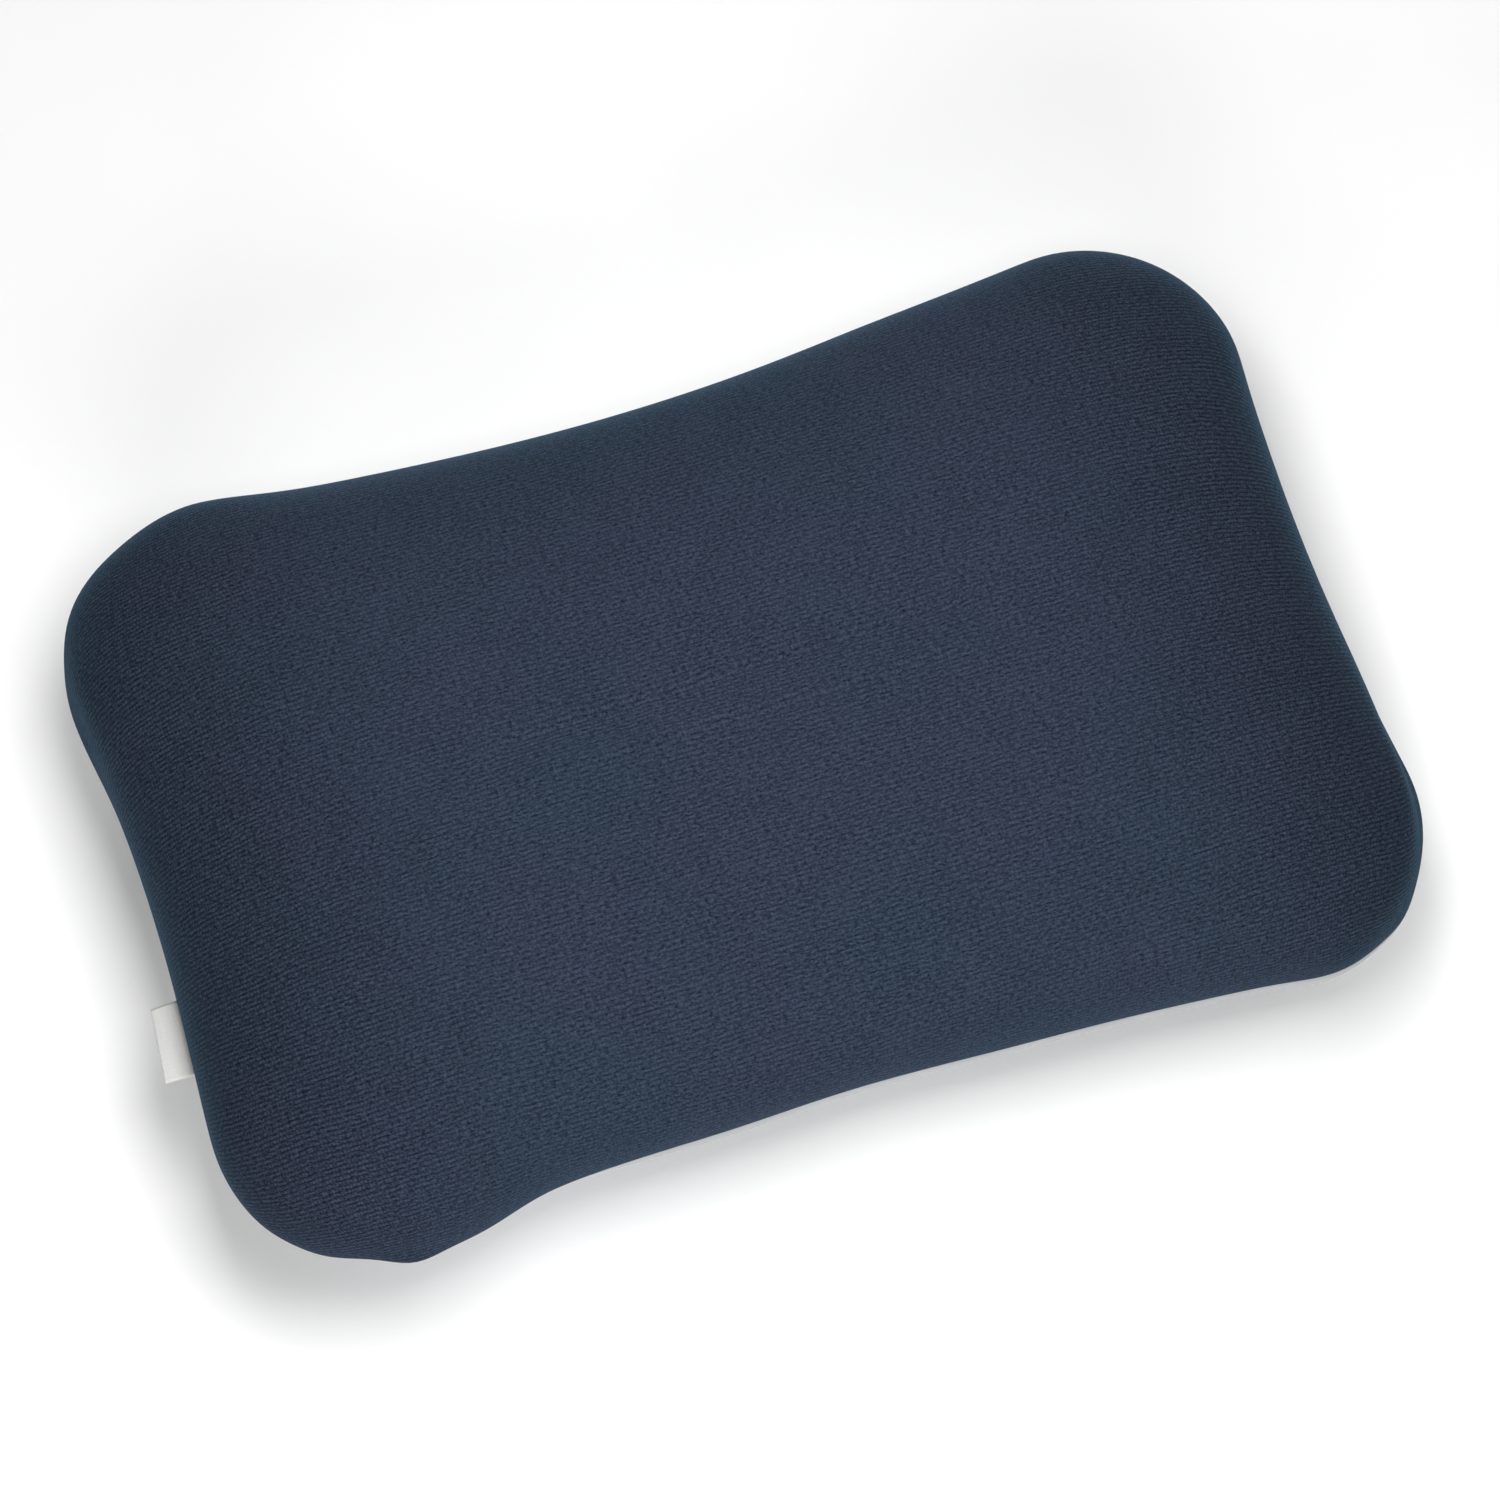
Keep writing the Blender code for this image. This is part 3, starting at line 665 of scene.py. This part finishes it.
def make_label():
    """A strip folded in half, slightly curled, with both tails in the seam."""
    low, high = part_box("woven_label")
    middle_z = (low.z + high.z) / 2
    length = high.y - low.y
    tail = high.x
    fold = low.x + LABEL_FOLD_R
    steps_out, fold_steps, steps_wide = 14, 10, 30
    path = [(tail + (fold - tail) * step / steps_out, LABEL_FOLD_R) for step in range(steps_out)]
    for step in range(fold_steps + 1):
        angle = pi / 2 + pi * step / fold_steps
        path.append((fold + LABEL_FOLD_R * cos(angle), LABEL_FOLD_R * sin(angle)))
    path += [(x, -z) for x, z in path[steps_out - 1 :: -1]]
    points, cloth, run, last = [], [], 0.0, path[0]
    for x, z in path:
        run += hypot(x - last[0], z - last[1])
        last = (x, z)
        out = max(0.0, (SEAM_AT_LABEL_X - x) / LABEL_PROUD)
        for step in range(steps_wide + 1):
            across = step / steps_wide
            wave = sin(pi * (CURL_WAVE[0] + CURL_WAVE[1] * across))
            curl = LABEL_CURL * out ** 2 * wave
            skew = LABEL_SKEW * out * (across - 0.5)
            y = low.y + length * across
            points.append((x + skew, y, middle_z + z + curl))
            cloth.append((run * PER_METRE, y * PER_METRE, out))
    wide = steps_wide + 1
    faces = []
    for row in range(len(path) - 1):
        for step in range(steps_wide):
            first = row * wide + step
            faces.append((first, first + wide, first + wide + 1, first + 1))
    label = new_piece("folded_label", points, faces)
    add_vectors(label, "cloth", np.array(cloth))
    thicken(label, LABEL_LAYER, offset=0.0)
    return label


def make_seam_allowance(name, side, seam):
    """The cover's edge, turned in along the seam and pressed flat."""
    insets = np.linspace(COVER_T + GAP, ALLOWANCE, 6)
    grid = np.array([rim_ring(seam, inset, side * ALLOWANCE_GAP) for inset in insets])
    quads = (len(insets) - 1) * AROUND  # without the cap that closes a full layer
    faces = ring_faces(len(insets), flip=side < 0)[:quads]
    band = new_piece(name, grid.reshape(-1, 3), faces)
    add_vectors(band, "cloth", grid[:, :, :2] * PER_METRE)
    thicken(band, ALLOWANCE_T, offset=1.0)
    return band


def make_overlock(seam):
    """The overlock thread: zigzag loops round the allowances' raw edges."""
    count = len(seam)
    steps = 8  # points round each stitch
    curve = bpy.data.curves.new("overlock_thread", "CURVE")
    curve.dimensions = "3D"
    spline = curve.splines.new("POLY")
    places = []
    for stitch in range(count * STITCHES_PER_SPAN):
        for step in range(steps):
            turn = 2 * pi * step / steps
            along = (stitch + step / steps) / STITCHES_PER_SPAN
            low = int(along) % count
            share = along - int(along)
            point = seam[low] * (1 - share) + seam[(low + 1) % count] * share
            inset = ALLOWANCE + STITCH_BITE * (cos(turn) - STITCH_ON_CLOTH)
            middle = np.array([np.clip(point[0], -SPINE_X, SPINE_X), 0.0])
            plan = point + (middle - point) * inset / NARROWEST
            places.append((*plan, SEAM_Z + STITCH_RISE * sin(turn)))
    spline.points.add(len(places) - 1)
    for point, place in zip(spline.points, places):
        point.co = (*place, 1.0)
    spline.use_cyclic_u = True
    curve.bevel_depth = THREAD_R
    curve.bevel_resolution = 0
    thread = bpy.data.objects.new("overlock_thread", curve)
    bpy.context.scene.collection.objects.link(thread)
    return thread


def make_valve_patch(cover):
    """The bonded ring round the valve: it lies on the lower cover, with a pressed, rounded edge."""
    graph = bpy.context.evaluated_depsgraph_get()
    tree = BVHTree.FromObject(cover, graph)
    out = VALVE.to_3x3() @ Vector((0, 0, 1))
    turns = 144
    radii = np.linspace(HOLE_R, PATCH_R, 15)
    points, cloth = [], []
    for radius in radii:
        edge = min(radius - HOLE_R, PATCH_R - radius)
        height = PATCH_T * (1 - np.exp(-edge / PATCH_ROUND)) + GAP
        weld = abs(radius - WELD_R) / WELD_HALF
        height -= WELD_DEPTH * np.exp(-(weld ** 2))
        for step in range(turns):
            turn = 2 * pi * step / turns
            over = VALVE @ Vector((radius * cos(turn), radius * sin(turn), PATCH_R))
            hit = tree.ray_cast(over, -out)[0] or over - out * PATCH_R
            points.append(hit + out * height)
            cloth.append((radius * cos(turn) * PER_METRE, radius * sin(turn) * PER_METRE))
    faces = []
    for row in range(len(radii) - 1):
        for step in range(turns):
            after = (step + 1) % turns
            near, far = row * turns, (row + 1) * turns
            faces.append((near + step, far + step, far + after, near + after))
    patch = new_piece("bonded_patch", points, faces)
    add_vectors(patch, "cloth", np.array(cloth))
    thicken(patch, PATCH_T / 2)
    return patch


def round_edges(node, width):
    """Rounds the sharp edges of a moulded CAD piece, and smooths its turned faces."""
    node.data.shade_smooth()
    node.data.set_sharp_from_angle(angle=radians(SHARP_ANGLE))
    weld = node.modifiers.new("weld", "WELD")
    weld.merge_threshold = 1e-6
    bevel = node.modifiers.new("rounding", "BEVEL")
    bevel.width = width
    bevel.segments = 3
    bevel.limit_method = "ANGLE"
    bevel.angle_limit = radians(SHARP_ANGLE)
    bevel.harden_normals = True


# --- Materials ---


class Pattern:
    """Adds nodes to a material. An input given a socket is linked to it, and others are set."""

    def __init__(self, name):
        self.material = bpy.data.materials.new(name)
        self.material.use_nodes = True
        self.tree = self.material.node_tree
        self.shader = self.tree.nodes["Principled BSDF"]

    def add(self, kind, inputs=(), output=0, **properties):
        node = self.tree.nodes.new("ShaderNode" + kind)
        for key, value in properties.items():
            setattr(node, key, value)
        for key, value in dict(inputs).items():
            self.feed(node.inputs[key], value)
        return node.outputs[output]

    def feed(self, socket, value):
        if isinstance(value, bpy.types.NodeSocket):
            self.tree.links.new(value, socket)
        else:
            socket.default_value = value

    def math(self, operation, first, second=0.0, third=0.0, clamp=False):
        inputs = {0: first, 1: second, 2: third}
        return self.add("Math", inputs, operation=operation, use_clamp=clamp)

    def vector(self, name="cloth", scale=(1.0, 1.0, 1.0)):
        """The stored cloth coordinates, in millimetres, scaled along each thread direction."""
        stored = self.add("Attribute", output="Vector", attribute_name=name)
        return self.add("VectorMath", {0: stored, 1: scale}, operation="MULTIPLY")

    def place(self, scale=(1.0, 1.0, 1.0)):
        """The point's own place on the object, in millimetres."""
        found = self.add("TexCoord", output="Object")
        scale = [PER_METRE * share for share in scale]
        return self.add("VectorMath", {0: found, 1: scale}, operation="MULTIPLY")

    def noise(self, vector, size, detail=2.0, roughness=0.5, distortion=0.0):
        """Noise from 0 to 1, with lumps of about size millimetres."""
        inputs = {
            "Vector": vector,
            "Scale": 1.0 / size,
            "Detail": detail,
            "Roughness": roughness,
            "Distortion": distortion,
        }
        return self.add("TexNoise", inputs, noise_dimensions="3D")

    def ramp(self, value, low, high, to_low=0.0, to_high=1.0):
        """The value's way from low to high, eased, as a number from to_low to to_high."""
        inputs = {"Value": value, "From Min": low, "From Max": high}
        inputs |= {"To Min": to_low, "To Max": to_high}
        return self.add("MapRange", inputs, interpolation_type="SMOOTHSTEP")

    def mix(self, share, first, second):
        """A colour between two, each a socket or a colour of three numbers."""
        node = self.tree.nodes.new("ShaderNodeMix")
        node.data_type = "RGBA"
        self.feed(node.inputs["Factor"], share)
        for socket, value in zip((s for s in node.inputs if s.type == "RGBA"), (first, second)):
            self.feed(socket, (*value, 1.0) if isinstance(value, tuple) else value)
        return next(s for s in node.outputs if s.type == "RGBA")

    def bump(self, height, distance_mm):
        """A normal from a height of 0 to 1, which stands for that many millimetres."""
        return self.add("Bump", {"Height": height, "Distance": distance_mm / PER_METRE})

    def finish(self, colour, roughness, normal=None, **constants):
        """Feeds the shader, and returns the material. The constants are set on its own sockets."""
        self.feed(self.shader.inputs["Base Color"], colour)
        self.feed(self.shader.inputs["Roughness"], roughness)
        if normal:
            self.feed(self.shader.inputs["Normal"], normal)
        for key, value in constants.items():
            name = key.replace("_", " ").title().replace("Ior", "IOR")
            self.shader.inputs[name].default_value = value
        return self.material


def knit_material(name):
    """Brushed knit, as on the upper side: rows of small stitches under a short, tangled nap."""
    p = Pattern(name)
    cloth = p.vector()
    sway = p.math("MULTIPLY_ADD", p.noise(cloth, 38.0, 1.0), 3.2, -1.6)
    jog = p.math("MULTIPLY_ADD", p.noise(p.vector(scale=(1.0, 0.6, 1.0)), 2.6, 1.0), 0.7, -0.35)
    along = p.add("SeparateXYZ", {0: cloth}, output="X")
    across = p.math("ADD", p.add("SeparateXYZ", {0: cloth}, output="Y"), p.math("ADD", sway, jog))
    rows = p.math("DIVIDE", across, RIB_PITCH)
    row = p.math("FLOOR", rows)
    in_row = p.math("SINE", p.math("MULTIPLY", p.math("SUBTRACT", rows, row), pi))
    offset = p.add("TexWhiteNoise", {"W": row}, noise_dimensions="1D")
    stitches = p.math("MULTIPLY_ADD", offset, pi, p.math("MULTIPLY", along, pi / STITCH_PITCH))
    stitch = p.math("ABSOLUTE", p.math("SINE", stitches))
    loop = p.math("MULTIPLY", in_row, p.math("MULTIPLY_ADD", stitch, 0.6, 0.4))
    # The brushing has left the rows clearest towards the ends, and the same ramp darkens the knit's
    # colour there as painted shade on the sloping shoulders
    clear_rows_and_shade_at_ends = p.ramp(p.math("ABSOLUTE", along), 100.0, 190.0, 0.0, 0.3)
    dash = p.ramp(p.noise(p.vector(scale=(0.6, 1.1, 1.0)), 1.3, 1.5), 0.35, 0.65, 0.25, 0.9)
    rows_seen = p.math("MULTIPLY", loop, p.math("ADD", dash, clear_rows_and_shade_at_ends))
    fibres = p.noise(p.vector(scale=(0.4, 1.0, 1.0)), 0.65, 2.0, 0.8)
    fuzz = p.noise(p.place(), 0.8, 2.0, 0.7)
    patches = p.noise(p.place(), 16.0, 3.0, 0.55)
    clouds = p.noise(p.place(), 70.0, 1.5)
    height = p.math("ADD", p.math("MULTIPLY", rows_seen, 0.5), p.math("MULTIPLY", fibres, 0.8))
    height = p.math("MULTIPLY_ADD", fuzz, 0.4, height)
    light = p.math("ADD", p.math("MULTIPLY", rows_seen, 0.55), p.math("MULTIPLY", fibres, 1.9))
    light = p.math("MULTIPLY_ADD", patches, 0.16, light)
    # Painted shade: the colour darkens towards both ends, standing in for the shade on the
    # shoulders
    light = p.math("MULTIPLY_ADD", clear_rows_and_shade_at_ends, -0.6, light)
    light = p.ramp(light, 0.62, 1.74)
    colour = p.mix(light, KNIT_DARK, KNIT_LIGHT)
    teal = p.mix(light, KNIT_DARK, KNIT_TEAL)
    colour = p.mix(p.ramp(clouds, 0.35, 0.65, 0.0, 0.6), colour, teal)
    lint = p.ramp(p.noise(p.vector(scale=(0.35, 1.3, 1.0)), 1.0, 1.0), 0.835, 0.86, 0.0, 0.35)
    colour = p.mix(lint, colour, KNIT_LINT)
    roughness = p.ramp(fibres, 0.2, 0.8, 0.88, 1.0)
    return p.finish(
        colour,
        roughness,
        p.bump(height, 0.30),
        sheen_weight=0.18,
        sheen_roughness=0.35,
        sheen_tint=(0.22, 0.55, 0.85, 1.0),
        specular_ior_level=0.08,
    )


def woven_material(name, colours, pitch, roughness=0.8):
    """Plain weave: threads over and under at the given pitch, with slubs and soft soiling."""
    p = Pattern(name)
    cloth = p.vector()
    u = p.add("SeparateXYZ", {0: cloth}, output="X")
    v = p.add("SeparateXYZ", {0: cloth}, output="Y")
    warp = p.math("SINE", p.math("MULTIPLY", u, pi / pitch))
    weft = p.math("SINE", p.math("MULTIPLY", v, pi / pitch))
    over = p.math("MULTIPLY_ADD", p.math("MULTIPLY", warp, weft), 0.5, 0.5)
    slub_u = p.noise(p.vector(scale=(0.06, 1.0, 1.0)), pitch * 2.2, 2.0)
    slub_v = p.noise(p.vector(scale=(1.0, 0.06, 1.0)), pitch * 2.2, 2.0)
    slubs = p.math("ADD", p.math("MULTIPLY", slub_u, 0.5), p.math("MULTIPLY", slub_v, 0.5))
    soft = p.noise(p.place(), 35.0, 3.0, 0.55)
    share = p.math("ADD", p.math("MULTIPLY", over, 0.35), p.math("MULTIPLY", slubs, 0.65))
    share = p.math("ADD", share, p.math("MULTIPLY_ADD", soft, 0.4, -0.2))
    colour = p.mix(p.ramp(share, 0.15, 0.9), *colours)
    height = p.math("ADD", over, p.math("MULTIPLY", slubs, 0.6))
    rough = p.ramp(slubs, 0.3, 0.7, roughness - 0.07, roughness + 0.07)
    normal = p.bump(height, 0.06)
    return p.finish(colour, rough, normal, sheen_weight=0.15, specular_ior_level=0.3)


def wadding_material():
    """Needled polyester wadding: pale, matted fibres."""
    p = Pattern("polyester wadding")
    tangle = p.noise(p.place(), 1.6, 4.0, 0.7, 1.5)
    lumps = p.noise(p.place(), 14.0, 3.0, 0.6)
    share = p.math("ADD", p.math("MULTIPLY", tangle, 0.6), p.math("MULTIPLY", lumps, 0.4))
    colour = p.mix(p.ramp(share, 0.3, 0.7), *WADDING)
    rough = p.ramp(tangle, 0.2, 0.8, 0.9, 1.0)
    return p.finish(colour, rough, p.bump(share, 0.8), sheen_weight=0.3)


def film_material():
    """Bladder film: a thin coated fabric, satin, faintly creased."""
    p = Pattern("bladder film")
    creases = p.noise(p.place(), 18.0, 4.0, 0.6, 0.8)
    weave = p.noise(p.place(), 0.5, 1.0)
    colour = p.mix(p.ramp(creases, 0.3, 0.7), *FILM)
    rough = p.ramp(creases, 0.3, 0.7, 0.34, 0.5)
    height = p.math("ADD", creases, p.math("MULTIPLY", weave, 0.08))
    return p.finish(colour, rough, p.bump(height, 0.5), specular_ior_level=0.5)


def moulded_material(name, colours, roughness, transmission=0.0):
    """Moulded plastic or rubber: a fine spark-eroded grain, paler on worn edges."""
    p = Pattern(name)
    grain = p.noise(p.place(), 0.28, 2.0, 0.6)
    flow = p.noise(p.place((1.0, 0.4, 1.0)), 7.0, 2.0)
    worn = p.ramp(p.add("NewGeometry", output="Pointiness"), 0.52, 0.6, 0.0, 0.5)
    colour = p.mix(p.ramp(flow, 0.3, 0.7), *colours)
    colour = p.mix(worn, colour, tuple(min(1.0, 1.7 * share + 0.01) for share in colours[1]))
    rough = p.ramp(flow, 0.3, 0.7, roughness - 0.04, roughness + 0.04)
    rough = p.math("ADD", p.ramp(grain, 0.3, 0.7, -0.05, 0.05), rough)
    return p.finish(
        colour,
        rough,
        p.bump(grain, 0.02),
        transmission_weight=transmission,
        specular_ior_level=0.5,
    )


def thread_material():
    """Spun polyester thread: plies twisted round the length."""
    p = Pattern("navy thread")
    twist = p.noise(p.place(), 0.35, 2.0)
    colour = p.mix(p.ramp(twist, 0.3, 0.7), *THREAD)
    rough = p.ramp(twist, 0.3, 0.7, 0.6, 0.8)
    return p.finish(colour, rough, p.bump(twist, 0.08), sheen_weight=0.3)


def floor_material():
    """Smooth pale studio floor with an almost unseen mottle."""
    p = Pattern("studio floor")
    soft = p.noise(p.place(), 160.0, 2.0)
    colour = p.mix(p.ramp(soft, 0.3, 0.7), *FLOOR)
    return p.finish(colour, p.ramp(soft, 0.3, 0.7, 0.55, 0.65))


def paint(piece, material):
    """Gives every slot of the piece the material."""
    if not piece.material_slots:
        piece.data.materials.append(material)
    for slot in piece.material_slots:
        slot.material = material


# --- Studio ---


def add_floor():
    corners = [(x * FLOOR_HALF, y * FLOOR_HALF, 0) for x, y in ((-1, -1), (1, -1), (1, 1), (-1, 1))]
    floor = new_piece("studio_floor", corners, [(0, 1, 2, 3)], smooth=False)
    floor.location.z = -FLOOR_GAP
    paint(floor, floor_material())


def add_light(name, away, aside, height, size, power):
    """A softbox aimed at the pillow. Away is from the camera, and aside to its right."""
    data = bpy.data.lights.new(name, "AREA")
    data.shape = "RECTANGLE"
    data.size, data.size_y = size
    data.energy = power
    light = bpy.data.objects.new(name, data)
    bpy.context.scene.collection.objects.link(light)
    turn = radians(CAMERA_TURN)
    x, y = away * sin(turn) + aside * cos(turn), away * cos(turn) - aside * sin(turn)
    light.location = (x, y, height)
    tilt = Vector((0, 0, SEAM_Z)) - light.location
    light.rotation_euler = tilt.to_track_quat("-Z", "Y").to_euler()


def add_studio():
    """A dim white surround, and softboxes above, before, behind and beside the pillow."""
    world = bpy.data.worlds.new("studio")
    bpy.context.scene.world = world
    world.use_nodes = True
    background = world.node_tree.nodes["Background"]
    background.inputs["Color"].default_value = (1.0, 1.0, 1.0, 1.0)
    background.inputs["Strength"].default_value = WORLD_STRENGTH
    add_light("top_softbox", 0.0, 0.0, 0.7, (0.3, 0.5), TOP_LIGHT)
    add_light("front_softbox", -1.3, 0.0, 0.6, (1.0, 0.7), FRONT_LIGHT)
    add_light("back_softbox", 1.3, 0.0, 0.6, (1.0, 0.7), BACK_LIGHT)
    add_light("end_softbox", 0.0, 0.9, 1.2, (0.6, 0.8), END_LIGHT)
    bpy.context.scene.view_settings.view_transform = "Standard"


def add_camera():
    """The camera stands off the near long side and looks down at it, turned towards one end."""
    data = bpy.data.cameras.new("camera")
    camera = bpy.data.objects.new("camera", data)
    bpy.context.scene.collection.objects.link(camera)
    turn, rise = radians(CAMERA_TURN), radians(CAMERA_RISE)
    back = Vector((-sin(turn) * cos(rise), -cos(turn) * cos(rise), sin(rise)))
    camera.location = Vector((0, 0, SEAM_Z)) + back * CAMERA_AWAY
    camera.rotation_euler = (-back).to_track_quat("-Z", "Y").to_euler()
    data.lens = CAMERA_LENS
    data.sensor_width = CAMERA_SENSOR
    data.shift_x, data.shift_y = CAMERA_SHIFT
    data.clip_start, data.clip_end = 0.05, 20.0
    bpy.context.scene.camera = camera


# --- Assembly ---


def make_cushion():
    """The covers, valve patch, seam, label and wadding."""
    seam = seam_line()
    top_runs = even_runs(TOP.length, SIM_STEP)
    under_runs = even_runs(UNDER.length, SIM_STEP)
    top_shift, under_shift = (
        gathers_of(shifts, seam) for shifts in simulate(seam, top_runs, under_runs)
    )
    knit = knit_material("navy brushed knit")
    grey = woven_material("light grey lining", LINING, LINING_PITCH)
    top, fine_runs, top_grid = make_cover("knit_cover", TOP, 1, seam, top_shift, top_runs)
    under, _, _ = make_cover("lower_cover", UNDER, -1, seam, under_shift, under_runs)
    patch = make_valve_patch(under)
    cut_valve_hole(under)
    finish_piece(top, knit, "top_knit", "cushion", "top_cover")
    finish_piece(under, grey, "under_fabric", "cushion", "bottom_cover")
    fabric = woven_material("patch fabric", PATCH_FABRIC, PATCH_PITCH, roughness=0.62)
    finish_piece(patch, fabric, "under_fabric", "cushion", "valve_patch")
    upper_edge = make_seam_allowance("knit_allowance", 1, seam)
    finish_piece(upper_edge, knit, "top_knit", "cushion")
    lower_edge = make_seam_allowance("lower_allowance", -1, seam)
    finish_piece(lower_edge, grey, "under_fabric", "cushion")
    finish_piece(make_overlock(seam), thread_material(), "thread", "cushion", "seam_thread")
    tape = woven_material("white tape", TAPE, TAPE_PITCH, roughness=0.6)
    finish_piece(make_label(), tape, "label_tape", "cushion", "woven_label")
    padding = make_padding(fine_runs, top_grid)
    finish_piece(padding, wadding_material(), "wadding", "cushion", "padding_sheet")


def make_inside():
    """The bladder's films and baffles."""
    depth_in = COVER_T + GAP
    film = film_material()
    upper = make_film("bladder_upper", TOP, 1, depth_in + PADDING_T + GAP)
    lower = make_film("bladder_lower", UNDER, -1, depth_in)
    finish_piece(upper, film, "bladder_film", "cushion", "bladder_top")
    cut_valve_hole(lower)
    finish_piece(lower, film, "bladder_film", "cushion", "bladder_bottom")
    for name in ("baffle_left", "baffle_middle", "baffle_right"):
        paint(frame["nodes"][name], film)


def finish_piece(piece, material, slot, body, *nodes):
    """Paints a piece, puts it on its body, and hides the CAD nodes that it stands for."""
    paint(piece, material)
    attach(piece, body)
    if nodes:
        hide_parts(*nodes)


def finish_valve():
    """Materials and rounded edges for the moulded pieces, with each one's rounding width."""
    body = moulded_material("valve body", VALVE_GREY, 0.42)
    soft = moulded_material("soft plastic", SOFT_BLACK, 0.52)
    clear = moulded_material("silicone", SILICONE, 0.32, transmission=0.25)
    for name, material, width in (
        ("valve_base", body, 0.00025),
        ("tether_ring", soft, 0.0002),
        ("deflate_plug", soft, 0.00025),
        ("inflate_cap", soft, 0.00025),
        ("check_flap", clear, 0.00012),
    ):
        node = frame["nodes"][name]
        paint(node, material)
        round_edges(node, width)


VALVE = valve_frame()
make_cushion()
make_inside()
finish_valve()
add_floor()
add_studio()
add_camera()
